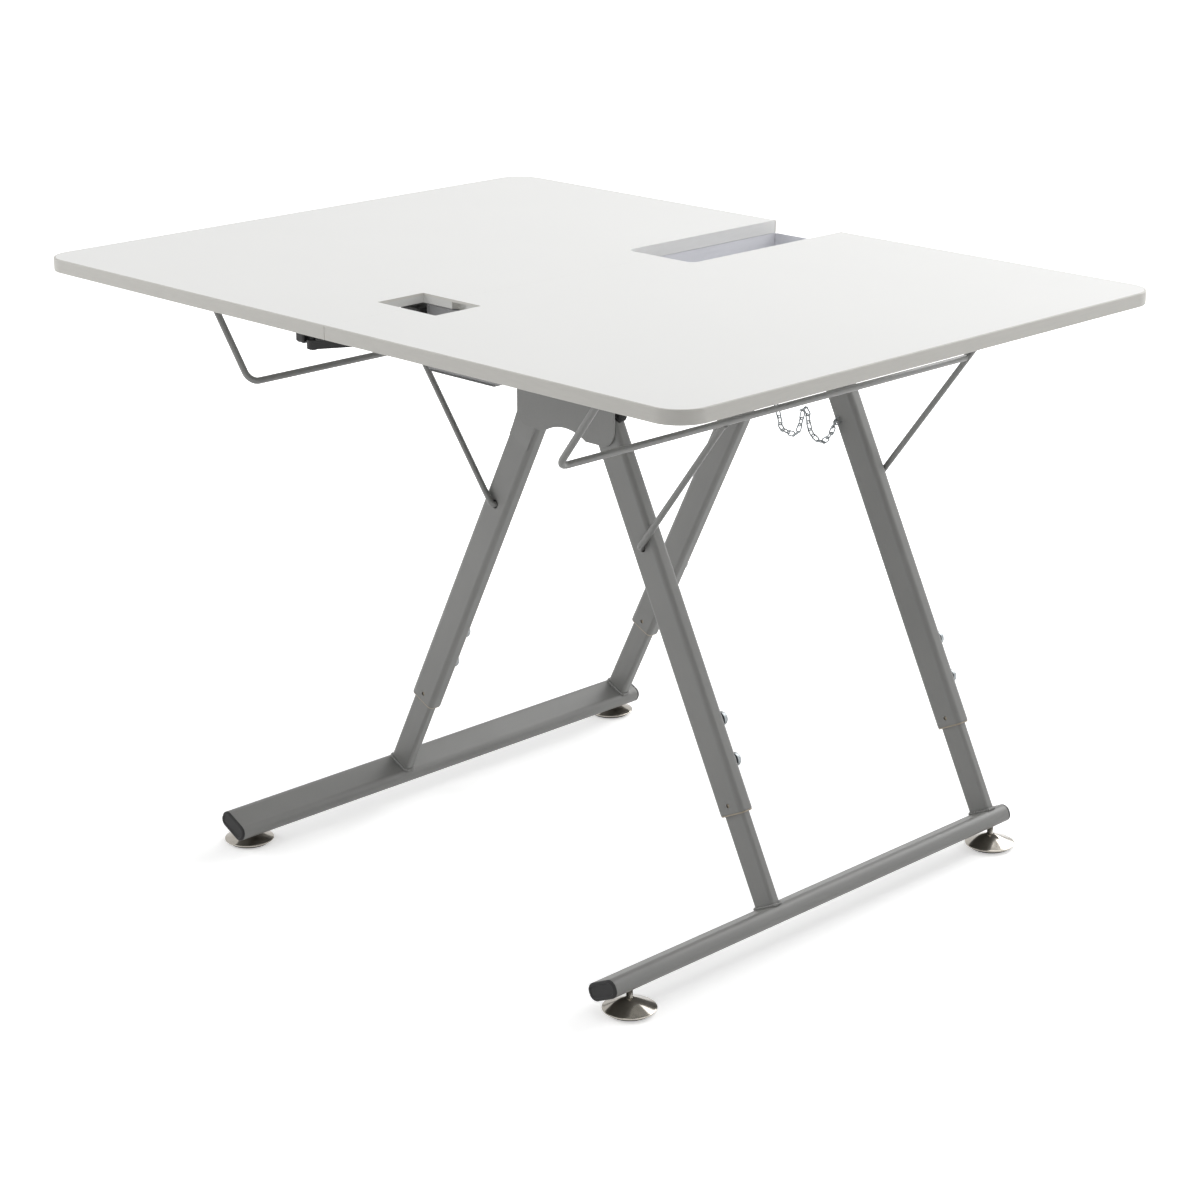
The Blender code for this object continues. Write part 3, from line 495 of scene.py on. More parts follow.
# %% [markdown]
# ## The leaves
# Each half of the top is a 16 mm board with white laminate, and a thin edge band wraps its outer edge.
# The board's outline holds half of the machine notch and half of the cut-out in front of it. The band is a
# small section, rounded where hands meet it, carried along the outer edge, because a bevel on a thin
# strip of many corners would pinch at the ends.

# %% The boards
BOARD_ARRIS = 0.00008
BOARD_FINISHES = (laminate, edging, backing, core_and_shade, notch_edging)


def leaf_outline():
    """The right board inside its band."""
    front, back, right = BOARD_LOW.y, BOARD_HIGH.y, BOARD_HIGH.x
    corner = CORNER_RADIUS - BAND - GAP
    return rounded([
        (SEAM, front, 0), (right, front, corner), (right, back, corner), (NOTCH_SIDE, back, 0),
        (NOTCH_SIDE, NOTCH_FRONT, NOTCH_CORNER), (SEAM, NOTCH_FRONT, 0), (SEAM, CUTOUT_BACK, 0),
        (CUTOUT_SIDE, CUTOUT_BACK, CUTOUT_CORNER), (CUTOUT_SIDE, CUTOUT_FRONT, CUTOUT_CORNER),
        (SEAM, CUTOUT_FRONT, 0)], 12)


def board_finish(face):
    """The finish of a board's face, by which way it looks and where it is."""
    x, y = abs(face.center.x), face.center.y
    if abs(face.normal.z) > 0.5:
        return laminate if face.normal.z > 0.0 else backing
    in_cutout = x < CUTOUT_SIDE + GAP and CUTOUT_FRONT - GAP < y < CUTOUT_BACK + POCKET_DEPTH + GAP
    # Cut-out walls below the skin take the sawn core; its darker grey is partly painted shade of the
    # undercut.
    if in_cutout and face.center.z < TOP_Z - POCKET_SKIN:
        return core_and_shade
    return notch_edging if x < NOTCH_SIDE + GAP and y > NOTCH_FRONT - GAP else edging


levels = (UNDERSIDE, TOP_Z - POCKET_SKIN, TOP_Z)
for side_name, side in SIDES.items():
    outline = mirrored(leaf_outline(), side)
    cutters = [block((-CUTOUT_SIDE - RELIEF_WIDTH, CUTOUT_FRONT - RELIEF_WIDTH, UNDERSIDE - RELIEF_DEPTH),
                     (CUTOUT_SIDE + RELIEF_WIDTH, CUTOUT_BACK + RELIEF_WIDTH, UNDERSIDE + RELIEF_DEPTH))]
    if side_name == "right":
        cutters.append(block((-POCKET_SIDE, CUTOUT_BACK - POCKET_DEPTH, UNDERSIDE - POCKET_SKIN),
                             (POCKET_SIDE, CUTOUT_BACK + POCKET_DEPTH, TOP_Z - POCKET_SKIN)))
    board = make(f"{side_name}_board", skin([flat(outline, z) for z in levels]), BOARD_FINISHES,
                 f"{side_name}_leaf", [f"{side_name}_leaf"], cutters, BOARD_ARRIS)
    for face in board.data.polygons:
        face.material_index = BOARD_FINISHES.index(board_finish(face))
    print(board.name, len(board.data.polygons), "faces")

# %% The edge bands
BAND_ROUND = 0.0013


def band_section():
    """The band's section as (inset from the outer face, height)."""
    section = [(BAND + GAP, UNDERSIDE)]
    for height, start in ((UNDERSIDE + BAND_ROUND, -90), (TOP_Z - BAND_ROUND, 0)):
        for step in range(5):
            angle = math.radians(start + 90 * step / 4)
            inset = BAND_ROUND * (1 - math.cos(angle))
            section.append((inset, height + BAND_ROUND * math.sin(angle)))
    return section + [(BAND + GAP, TOP_Z)]


edge_corners = [
    (BAND_LOW.x, TOP_FRONT, 0), (TOP_SIDE, TOP_FRONT, CORNER_RADIUS),
    (TOP_SIDE, TOP_BACK, CORNER_RADIUS), (NOTCH_SIDE, TOP_BACK, 0), (NOTCH_SIDE, 0, 0)]
edge_path = rounded(edge_corners, 14)[:-1]
section = band_section()
for side_name, side in SIDES.items():
    loops = []
    for index, point in enumerate(edge_path):
        along = heading(edge_path, index)
        outward = Vector((along.y, -along.x))
        inset_points = [(point - outward * inset, z) for inset, z in section]
        loops.append([Vector((p.x * side, p.y, z)) for p, z in inset_points])
    make(f"{side_name}_band", skin(loops), (edging,),
         f"{side_name}_leaf", [f"{side_name}_edge_band"])
print("edge bands of", len(edge_path), "sections")

# %% [markdown]
# ## The machine tray
# Below the notch hangs a tray folded from sheet: a channel with rounded bends along its length, and an
# end plate let into each end with a hairline at the corner. A solid box would have neither the soft
# bends nor the open joints. The inside is pale; the outside grey is partly painted shade for the space
# under the top, with a painted shadow line at its lower edge, so each face is asked whether it looks
# away from the middle of the mouth. A dark bracket block sits at the front left corner.

# %% Tray channel and end plates
SHEET = 0.002
TRAY_BEND = 0.004
HAIRLINE = 0.0004
PLATE_TIP = 0.003
FACING_OUT = 0.0005
EAR_HEIGHT, EAR_LEAD, EAR_DEPTH, EAR_DROP = 0.045, 0.012, 0.0275, 0.0035
tray_half, tray_front = TRAY_HIGH.x, TRAY_LOW.y + EAR_LEAD


def cup(half, low, bend, tip=0.0):
    """The (x, z, radius) corners of a U up to the tray's rim."""
    return [(-half, TRAY_HIGH.z, tip), (-half, low, bend), (half, low, bend), (half, TRAY_HIGH.z, tip)]


inner_bend = TRAY_BEND - SHEET
inner_cup = cup(tray_half - SHEET, TRAY_LOW.z + SHEET, inner_bend)
channel = rounded(cup(tray_half, TRAY_LOW.z, TRAY_BEND) + inner_cup[::-1], 6)
inner_half, inner_floor = tray_half - SHEET - HAIRLINE, TRAY_LOW.z + SHEET + HAIRLINE
end_plate = rounded(cup(inner_half, inner_floor, inner_bend, PLATE_TIP), 4)
parts = [slab(channel, tray_front, TRAY_HIGH.y, upright)]
for start in (tray_front + HAIRLINE, TRAY_HIGH.y - SHEET - HAIRLINE):
    parts.append(slab(end_plate, start, start + SHEET, upright))
tray = make("tray", joined(*parts), (tray_paint, tray_outside),
            "frame", ["machine_tray"], bevel=0.0004)
mouth = Vector((0, (tray_front + TRAY_HIGH.y) / 2, TRAY_HIGH.z))
# Outward faces take the outside grey, which holds painted shade and the painted shadow line.
for face in tray.data.polygons:
    face.material_index = 1 if face.normal.dot(face.center - mouth) > FACING_OUT else 0
print(tray.name, len(tray.data.polygons), "faces")

# %% Bracket block on the tray
EAR_CORNER, EAR_TAPER = 0.003, 0.006
ear_right, ear_top = -tray_half - GAP, TRAY_HIGH.z - EAR_DROP
ear_width = ear_right - TRAY_LOW.x
ear_middle = ((TRAY_LOW.x + ear_right) / 2, TRAY_LOW.y + EAR_DEPTH / 2)
ear = rectangle(ear_width, EAR_DEPTH, EAR_CORNER, *ear_middle)
ear_foot = rectangle(ear_width - EAR_TAPER, EAR_DEPTH - EAR_TAPER, EAR_CORNER, *ear_middle)
ear_loops = [flat(ear_foot, ear_top - EAR_HEIGHT), flat(ear, ear_top - EAR_HEIGHT / 2), flat(ear, ear_top)]
make("tray_ear", skin(ear_loops), (black_plastic,), "frame", (), bevel=0.0006)
print("bracket block", round(ear_width, 4), "wide")

# %% [markdown]
# ## Bracket plates
# Two arched plates hold the tops of the legs. The left legs are welded to them and dressed smooth, so
# on the left the plate runs out into the leg as a thin tongue. On the right the leg swings behind the
# plate, and the plate ends in a round lobe over the pivot.

# %% Plates and their tongues
PLATE_HALF, PLATE_LOBE = 0.081, 0.018
ARCH_HALF, ARCH_RISE, ARCH_STEPS = 0.035, 0.010, 24
TONGUE, TONGUE_ROOT, TONGUE_EASE, TONGUE_TAPER = 0.048, 0.02, 1.5, 0.96
LEG_WIDTH, LEG_DEPTH, LEG_WALL, LEG_CORNER = 0.040, 0.021, 0.0015, 0.0065


def plate_outline(low, high):
    """The arched plate, notched round the tray."""
    notch, notch_floor = tray_half + GAP, TRAY_LOW.z - GAP
    corners = [
        (-PLATE_HALF, low, PLATE_LOBE), (-PLATE_HALF, high, 0), (-notch, high, 0), (-notch, notch_floor, 0),
        (notch, notch_floor, 0), (notch, high, 0), (PLATE_HALF, high, 0), (PLATE_HALF, low, PLATE_LOBE)]
    radius = (ARCH_HALF ** 2 + ARCH_RISE ** 2) / (2 * ARCH_RISE)
    spread = math.asin(ARCH_HALF / radius)
    arch = []
    for step in range(ARCH_STEPS + 1):
        angle = spread * (1 - 2 * step / ARCH_STEPS)
        arch.append(Vector((radius * math.sin(angle), low + ARCH_RISE - radius * (1 - math.cos(angle)))))
    return rounded(corners, 10) + arch


def leg_axes(side):
    """The axes of a leg pair: origin on the pivot line, Z up along the leg, X across its width."""
    return Matrix.Translation((side * PIVOT_X, 0, PIVOT_Z)) @ Matrix.Rotation(-side * LEG_LEAN, 4, "Y")


for place in LEG_PLANES:
    low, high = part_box(f"{place}_bracket_plate")
    plate = slab(plate_outline(low.z, high.z), low.y, high.y, upright)
    make(f"{place}_bracket", plate, (paint,), "frame", [f"{place}_bracket_plate"], bevel=0.0006)
    outer_face, leg_face = (low.y, high.y + GAP) if place == "front" else (high.y, low.y - GAP)
    tongue_top = (low.z - PIVOT_Z) / math.cos(LEG_LEAN) + PLATE_LOBE * 1.2
    half = LEG_WIDTH / 2 - LEG_CORNER * 0.4
    loops = []
    for share in (0.0, 0.35, 0.7, 1.0):
        sunk = TONGUE_ROOT + (1 - TONGUE_ROOT) * share ** TONGUE_EASE
        proud, narrow = outer_face + (leg_face - outer_face) * sunk, half * TONGUE_TAPER
        section = [(-half, leg_face), (half, leg_face), (narrow, proud), (-narrow, proud)]
        loops.append([Vector((x, y, tongue_top - TONGUE * share)) for x, y in section])
    tongue = moved(skin(loops), leg_axes(-1))
    make(f"{place}_bracket_tongue", tongue, (paint,), "frame", ())
print("bracket plates:", len(LEG_PLANES))

# %% [markdown]
# ## Legs
# The outer tubes are drawn with generous corners, which catch a long soft highlight, so their arcs
# need many steps. Holes are cut with Booleans: a small snap hole near the mouth, and a long hole where
# the end of a rod support hooks in. The inner tubes slide in an ivory bush.

# %% Outer tubes
LEG_TOP, LEG_END = 0.025, -0.513
STRUT_HOLE, SNAP_HOLE = -0.1875, LEG_END + 0.0102
CUT_REACH = 0.004
LEGS = [(f"{place}_{side_name}", place, side, y)
        for side_name, side in SIDES.items() for place, y in LEG_PLANES.items()]
UPPER_BODY = {-1: "frame", 1: "right_leg"}


def tube(width, depth, wall, corner, y, low, high):
    """A rounded rectangular tube along Z."""
    outer = rectangle(width, depth, corner, 0, y)
    inner = rectangle(width - 2 * wall, depth - 2 * wall, corner - wall, 0, y)
    return skin([flat(outer, low), flat(outer, high), flat(inner, high), flat(inner, low)], hollow=True)


def hole_through(outline, y, reach, axes):
    """A cutter along the depth, about one face of a leg."""
    return moved(slab(outline, y - reach, y + reach, upright), axes)


long_hole = rectangle(0.0090, 0.0112, 0.0044, 0, STRUT_HOLE)
snap_hole = circle(0.0025, 0, SNAP_HOLE, 20)
for leg, place, side, y in LEGS:
    axes = leg_axes(side)
    strut_face = y + LEG_DEPTH / 2 * OUTWARD[place]
    cutters = [hole_through(long_hole, strut_face, CUT_REACH, axes),
               hole_through(snap_hole, y - LEG_DEPTH / 2, CUT_REACH, axes)]
    outer_tube = tube(LEG_WIDTH, LEG_DEPTH, LEG_WALL, LEG_CORNER, y, LEG_END, LEG_TOP)
    make(f"{leg}_leg", moved(outer_tube, axes), (paint,),
         UPPER_BODY[side], [f"{leg}_outer_leg"], cutters, 0.0004)
print("outer tubes:", len(LEGS))

# %% Bushes and inner tubes
INNER_WIDTH, INNER_DEPTH, INNER_WALL, INNER_CORNER = 0.032, 0.0135, 0.0015, 0.0040
BAR_WIDTH, BAR_HEIGHT, BAR_WALL, BAR_CORNER, BAR_Z = 0.044, 0.0215, 0.0015, 0.0095, 0.0322
BAR_DROP = (PIVOT_Z - BAR_Z) / math.cos(LEG_LEAN)
INNER_TOP, INNER_FOOT = -0.250, BAR_HEIGHT / 2 + GAP - BAR_DROP
SLOT_LOW, SLOT_HIGH, SLOT_HALF = -0.4583, -0.2817, 0.0033
BUSH_SEAT, BUSH_TOP = LEG_END - GAP, LEG_END + 0.030
BUSH_EDGE, BUSH_LIP = BUSH_SEAT - 0.0015, BUSH_SEAT - 0.0009
LOWER_BODY = {-1: "left_lower", 1: "right_lower"}


def leg_section(inset, y):
    """The outer tube's section, smaller all round."""
    return rectangle(LEG_WIDTH - 2 * inset, LEG_DEPTH - 2 * inset, LEG_CORNER - inset, 0, y)


slot_middle = (SLOT_LOW + SLOT_HIGH) / 2
slot_outline = rectangle(2 * SLOT_HALF, SLOT_HIGH - SLOT_LOW, SLOT_HALF * 0.98, 0, slot_middle)
for leg, place, side, y in LEGS:
    axes = leg_axes(side)
    bore = rectangle(INNER_WIDTH + 2 * GAP, INNER_DEPTH + 2 * GAP, INNER_CORNER, 0, y)
    lip, soft = leg_section(0.0004, y), leg_section(0.0010, y)
    sleeve_width, sleeve_depth = LEG_WIDTH - 2 * LEG_WALL - 2 * GAP, LEG_DEPTH - 2 * LEG_WALL - 2 * GAP
    sleeve = rectangle(sleeve_width, sleeve_depth, LEG_CORNER - LEG_WALL, 0, y)
    loops = [flat(bore, BUSH_EDGE), flat(soft, BUSH_EDGE), flat(lip, BUSH_LIP), flat(lip, BUSH_SEAT),
             flat(sleeve, BUSH_SEAT), flat(sleeve, BUSH_TOP), flat(bore, BUSH_TOP)]
    make(f"{leg}_guide", moved(skin(loops, hollow=True), axes), (ivory,),
         UPPER_BODY[side], [f"{leg}_bush"])
    inner_tube = tube(INNER_WIDTH, INNER_DEPTH, INNER_WALL, INNER_CORNER, y, INNER_FOOT, INNER_TOP)
    make(f"{leg}_slide_leg", moved(inner_tube, axes), (paint,), LOWER_BODY[side], [f"{leg}_inner_leg"],
         [hole_through(slot_outline, y, LEG_DEPTH, axes)], 0.0003)
print("inner tubes", round(INNER_TOP - INNER_FOOT, 3), "long")

# %% [markdown]
# ## Foot bars, caps and levelling feet
# The bars are flat oval tubes, welded square to the legs, so they lean with them. Each end is closed by
# a black cap whose face is slightly dished behind a rim. The levelling feet are spun discs with a
# rolled rim on a threaded stud.

# %% Foot bars
BAR_SOFT, BAR_SOFT_DEPTH = 0.0003, 0.0004


def bar_section(grow):
    """The flat oval section, larger or smaller all round."""
    return rectangle(BAR_WIDTH + 2 * grow, BAR_HEIGHT + 2 * grow, BAR_CORNER + grow, 0, -BAR_DROP, 10)


for side_name, side in SIDES.items():
    low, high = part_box(f"{side_name}_foot_bar")
    steps = [(-BAR_SOFT, low.y), (0.0, low.y + BAR_SOFT_DEPTH), (0.0, high.y - BAR_SOFT_DEPTH),
             (-BAR_SOFT, high.y), (-BAR_WALL, high.y), (-BAR_WALL, low.y)]
    loops = [upright(bar_section(grow), depth) for grow, depth in steps]
    make(f"{side_name}_bar", moved(skin(loops, hollow=True), leg_axes(side)), (paint,),
         f"{side_name}_lower", [f"{side_name}_foot_bar"])
    print(f"{side_name} bar", round(high.y - low.y, 3), "long")

# %% End caps
CAP_FLANGE, CAP_PLUG, CAP_GROW = 0.003, 0.018, -BAR_WALL - GAP
CAP_STEPS = [(-0.0042, 0.0009), (-0.0036, 0.0002), (-0.0022, 0.0), (-0.0008, 0.0005), (0.0, 0.0016),
             (0.0, CAP_FLANGE), (CAP_GROW, CAP_FLANGE), (CAP_GROW, CAP_FLANGE + CAP_PLUG)]
for leg, place, side, y in LEGS:
    low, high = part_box(f"{leg}_end_cap")
    end = low.y if place == "front" else high.y
    loops = [upright(bar_section(grow), end - OUTWARD[place] * depth) for grow, depth in CAP_STEPS]
    make(f"{leg}_cap", moved(skin(loops), leg_axes(side)), (black_plastic,),
         LOWER_BODY[side], [f"{leg}_end_cap"])
print("end caps:", len(LEGS))

# %% Levelling feet and pads
FOOT_PROFILE = [
    (0.0270, 0.0034), (0.0292, 0.0033), (0.0304, 0.0037), (0.0310, 0.0045), (0.0308, 0.0054),
    (0.0300, 0.0060), (0.0285, 0.0065), (0.0240, 0.0083), (0.0190, 0.0105), (0.0140, 0.0127),
    (0.0098, 0.0145), (0.0070, 0.0156), (0.0056, 0.0163), (0.0046, 0.0166), (0.0032, 0.0167),
    (0.0032, 0.042)]
PAD_PROFILE = [(0.0246, 0.0), (0.0256, 0.0003), (0.0260, 0.0010), (0.0260, 0.0030)]
FOOT_STEPS = 64
studs = []
for leg, place, side, y in LEGS:
    low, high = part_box(f"{leg}_glide")
    centre = (low + high) / 2
    stand = Matrix.Translation((centre.x, centre.y, 0))
    make(f"{leg}_disc", moved(turned(FOOT_PROFILE, FOOT_STEPS), stand), (nickel,),
         f"{leg}_foot", [f"{leg}_glide"])
    make(f"{leg}_foot_pad", moved(turned(PAD_PROFILE, FOOT_STEPS), stand), (rubber,),
         f"{leg}_foot", [f"{leg}_pad"])
    studs.append((leg, centre))
print("feet:", len(studs))

# %% [markdown]
# ## Leaf supports
# Each leaf rests on a frame of bent steel rod. One strut runs from the back leg right up to the leaf,
# another from the front leg to a crossbar, and the crossbar runs forward and bends up into a front
# arm. The ends hook into the legs and bend over under the leaf.

# %% Rod frames
ROD_RADIUS, STRUT_RADIUS, ROD_BEND, HOOK_BEND = 0.004, 0.0038, 0.014, 0.0055
STRUT_X, STRUT_Z, STRUT_STAND = 0.12488, 0.43691, 0.005
STRUT_LEAN = math.radians(37.0)
CROSSBAR_RISE, TIP_RISE = 0.220, (UNDERSIDE - 0.0076 - STRUT_Z) / math.cos(STRUT_LEAN)
HOOK, FOOT, JOIN_RISE = 0.015, 0.032, 0.1
STRUT_PLANES = {place: y + OUTWARD[place] * (LEG_DEPTH / 2 + STRUT_STAND) for place, y in LEG_PLANES.items()}
BAIL_FRONT = LEG_PLANES["front"] - 0.275


def on_support(side, rise, y):
    """A point of a support's plane: how far up the strut, and how deep."""
    return Vector((side * (STRUT_X + rise * math.sin(STRUT_LEAN)), y, STRUT_Z + rise * math.cos(STRUT_LEAN)))


def support_path(side, bend, *stops):
    """A bent path in a support's plane, through (rise, depth) stops."""
    return bent([on_support(side, rise, y) for rise, y in stops], bend)


front, back = STRUT_PLANES["front"], STRUT_PLANES["back"]
for side_name, side in SIDES.items():
    bail = support_path(side, ROD_BEND, (TIP_RISE, BAIL_FRONT + FOOT), (TIP_RISE, BAIL_FRONT),
                        (CROSSBAR_RISE, BAIL_FRONT), (CROSSBAR_RISE, back))
    hook = support_path(side, HOOK_BEND, (0, back - HOOK), (0, back), (JOIN_RISE, back))
    tip = support_path(side, ROD_BEND, (JOIN_RISE, back), (TIP_RISE, back), (TIP_RISE, back - FOOT))
    front_strut = support_path(side, HOOK_BEND, (0, front + HOOK), (0, front), (CROSSBAR_RISE, front))
    back_strut = hook[:-1] + tip[1:]
    rods = joined(rod(bail, ROD_RADIUS), rod(back_strut, STRUT_RADIUS), rod(front_strut, STRUT_RADIUS))
    make(f"{side_name}_rod_support", rods, (rod_paint,),
         f"{side_name}_support", [f"{side_name}_leaf_support"], bevel=0.0006)
    print(f"{side_name} support of", len(bail) + len(back_strut) + len(front_strut), "stations")

# %% [markdown]
# ## Bolts, bumpers and pivots
# The height is locked by bolts from behind. Each one ends in a washer, a hexagon nut and a domed cap,
# and the dome is what shows beside the leg in the photograph. All of these are turned profiles, because
# a hexagon is only a circle of six steps.

# %% Lock bolts
HEX = 6
LOCK_DROPS = (0.405, 0.455)
NUT, WASHER, SHANK = 0.0068, 0.0062, 0.003
LOCK_SEAT, LOCK_TIP = LEG_DEPTH / 2 + GAP, LEG_WALL + GAP - LEG_DEPTH / 2
NUT_BASE, NUT_NECK = LOCK_SEAT + 0.0014, LOCK_SEAT + 0.0110
DOME, DOME_RISE = NUT * 1.32, 0.0068
DOME_START = LOCK_SEAT + 0.0195 - DOME_RISE


def lock_bolt():
    """Washer, hexagon nut and dome, on a shank that goes inward."""
    washer = turned([(WASHER, LOCK_SEAT), (WASHER, LOCK_SEAT + 0.0010),
                     (WASHER - 0.0004, LOCK_SEAT + 0.0013)], 28)
    hexagon = turned([(NUT * 0.92, NUT_BASE), (NUT, NUT_BASE + 0.0008), (NUT, NUT_NECK - 0.0010),
                      (NUT * 0.90, NUT_NECK)], HEX)
    arcs = [math.radians(angle) for angle in (0, 18, 36, 54, 72, 86)]
    bow = [(DOME * math.cos(a), DOME_START + DOME_RISE * math.sin(a)) for a in arcs]
    dome = turned([(DOME, NUT_NECK - 0.0010)] + bow, 28)
    stem = turned([(SHANK, LOCK_TIP), (SHANK, NUT_BASE + 0.001)], 20)
    return joined(washer, hexagon, dome, stem)


for leg, place, side, y in LEGS:
    for number, drop in enumerate(LOCK_DROPS, 1):
        behind = Matrix.Translation((0, y, -drop)) @ Matrix.Rotation(-math.pi / 2, 4, "X")
        make(f"{leg}_lock_{number}", moved(lock_bolt(), leg_axes(side) @ behind), (zinc,),
             UPPER_BODY[side], [f"{leg}_lock_bolt_{number}"])
print("lock bolts:", len(LEGS) * len(LOCK_DROPS))

# %% Pivot bolts and rubber bumpers
BUMPER_DROP = 0.0365
BUMPER_PROFILE = [
    (0.0040, 0.0), (0.0060, 0.0), (0.0060, 0.0016), (0.0048, 0.0026), (0.0048, 0.0036),
    (0.0059, 0.0046), (0.0060, 0.0070), (0.0053, 0.0083), (0.0038, 0.0090)]
PIVOT_HEAD, PIVOT_EDGE, PIVOT_SHANK = 0.0075, 0.0060, 0.004
bumper_stand = Matrix.Rotation(math.pi / 2, 4, "Y")
for place, y in LEG_PLANES.items():
    low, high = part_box(f"{place}_right_pivot_bolt")
    depth = (high.y - low.y) / 2
    head = [(PIVOT_HEAD, depth - 0.004), (PIVOT_HEAD, depth - 0.0008), (PIVOT_EDGE, depth)]
    nut = [(radius, -height) for radius, height in head[::-1]]
    shank = [(PIVOT_SHANK, 0.001 - depth), (PIVOT_SHANK, depth - 0.001)]
    pivot = joined(turned(head, HEX), turned(nut, HEX), turned(shank, 24))
    middle = Matrix.Translation((PIVOT_X, (low.y + high.y) / 2, PIVOT_Z))
    turn = Matrix.Rotation(-OUTWARD[place] * math.pi / 2, 4, "X")
    make(f"{place}_right_pivot", moved(pivot, middle @ turn), (zinc,),
         "frame", [f"{place}_right_pivot_bolt"])
    on_leg = leg_axes(1) @ Matrix.Translation((LEG_WIDTH / 2 + GAP, y, -BUMPER_DROP))
    make(f"{place}_right_buffer", moved(turned(BUMPER_PROFILE), on_leg @ bumper_stand), (rubber,),
         "right_leg", [f"{place}_right_bumper"])
    print(f"{place} pivot", round(2 * depth, 4), "long")

# %% [markdown]
# ## Hinges, catch rails and latch
# Below the leaves sit the pieces that the photograph hides: hinge knuckles on the frame, straps on the
# leaves, and the rail that a support's feet lie against. The latch at the front is a moulded block with
# a turning lever, thick at its pivot and thin at its tip.

# %% Hinges
HINGE_X, HINGE_Z, KNUCKLE, PIN = 0.087, UNDERSIDE - 0.0055, 0.005, 0.003
KNUCKLE_LENGTH, PIN_ROOT = 0.020, 0.002
STRAP_REACH, STRAP_SHEET, STRAP_CORNER = 0.060, 0.0025, 0.004
STRAP_TOP = UNDERSIDE - GAP
STRAP_SCREWS = (0.020, 0.036, 0.052)
inner, outer = tray_half + GAP, HINGE_X + KNUCKLE
knuckle_corners = [(inner, HINGE_Z - KNUCKLE, 0), (outer, HINGE_Z - KNUCKLE, KNUCKLE * 0.99),
                   (outer, HINGE_Z + KNUCKLE, KNUCKLE * 0.99), (inner, HINGE_Z + KNUCKLE, 0)]
screw_places = {"left_leaf": [], "right_leaf": []}
for side_name, side in SIDES.items():
    for place in LEG_PLANES:
        away = -OUTWARD[place]
        low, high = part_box(f"{side_name}_{place}_hinge_knuckle")
        start, end = (low.y, high.y) if away > 0 else (high.y, low.y)
        middle = start + away * KNUCKLE_LENGTH
        section = mirrored(rounded(knuckle_corners), side)
        pin = circle(PIN, side * HINGE_X, HINGE_Z, 24)
        knuckle = joined(slab(section, start, middle, upright),
                         slab(pin, middle - away * PIN_ROOT, end, upright))
        make(f"{side_name}_{place}_knuckle", knuckle, (paint,),
             "frame", [f"{side_name}_{place}_hinge_knuckle"], bevel=0.0005)
        strap_start = middle + away * GAP
        strap_middle = (strap_start + end) / 2
        barrel = circle(KNUCKLE, side * HINGE_X, HINGE_Z, 32)
        bore = circle(PIN + GAP, side * HINGE_X, HINGE_Z, 32)
        roll = skin([upright(barrel, strap_start), upright(barrel, end),
                     upright(bore, end), upright(bore, strap_start)], hollow=True)
        reach_middle = side * (HINGE_X + KNUCKLE * 0.5 + STRAP_REACH / 2)
        sheet = rectangle(STRAP_REACH - KNUCKLE, abs(end - strap_start), STRAP_CORNER,
                          reach_middle, strap_middle, 6)
        strap = joined(roll, slab(sheet, STRAP_TOP - STRAP_SHEET, STRAP_TOP))
        make(f"{side_name}_{place}_strap", strap, (zinc,),
             f"{side_name}_leaf", [f"{side_name}_{place}_hinge_strap"], bevel=0.0004)
        for reach in STRAP_SCREWS:
            spot = Vector((side * (HINGE_X + reach), strap_middle, STRAP_TOP - STRAP_SHEET))
            screw_places[f"{side_name}_leaf"].append(spot)
print("hinge screws:", sum(len(spots) for spots in screw_places.values()))

# %% Catch rails
RAIL_LIP, RAIL_SHEET = 0.010, 0.003
RAIL_SCREWS, RAIL_END, SCREW_INSET = 6, 0.045, 0.005
for side_name, side in SIDES.items():
    low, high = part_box(f"{side_name}_catch_rail")
    inner, outer = (low.x, high.x) if side > 0 else (high.x, low.x)
    lip, face = inner + side * RAIL_LIP, high.z - RAIL_SHEET
    corners = [(inner, high.z, 0.0005), (outer, high.z, 0.0005), (outer, face, 0.0012),
               (lip, face, 0.0005), (lip, low.z, 0.0012), (inner, low.z, 0.0015)]
    make(f"{side_name}_rail", slab(rounded(corners, 4), low.y, high.y, upright), (black_plastic,),
         f"{side_name}_leaf", [f"{side_name}_catch_rail"], bevel=0.0005)
    span = high.y - low.y - 2 * RAIL_END
    for step in range(RAIL_SCREWS):
        depth = low.y + RAIL_END + span * step / (RAIL_SCREWS - 1)
        screw_places[f"{side_name}_leaf"].append(Vector((outer - side * SCREW_INSET, depth, face)))
    print(f"{side_name} rail", round(high.y - low.y, 3), "long")

# %% Seam latch
LATCH_X, LATCH_Y = -0.050, TOP_FRONT + 0.025
LATCH_TAPER = 0.003
LEVER_LENGTH, LEVER_HALF, LEVER_TOP, LEVER_THICK = 0.064, 0.007, UNDERSIDE - 0.0113, 0.010
LEVER_TIP, LEVER_SLOPE = LEVER_HALF * 0.55, 0.055
LEVER_ROUND, LEVER_TIP_ROUND = 0.0068, 0.0037
low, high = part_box("latch_base")
width, depth = high.x - low.x, high.y - low.y
middle = ((low.x + high.x) / 2, (low.y + high.y) / 2)
base = rectangle(width, depth, 0.0025, *middle)
foot = rectangle(width - LATCH_TAPER, depth - LATCH_TAPER, 0.0020, *middle)
latch_block = skin([flat(foot, low.z), flat(base, low.z + 0.002), flat(base, high.z)])
make("latch_block", latch_block, (black_plastic,), "left_leaf", ["latch_base"], bevel=0.0004)
screw_places["left_leaf"].append(Vector((*middle, low.z)))
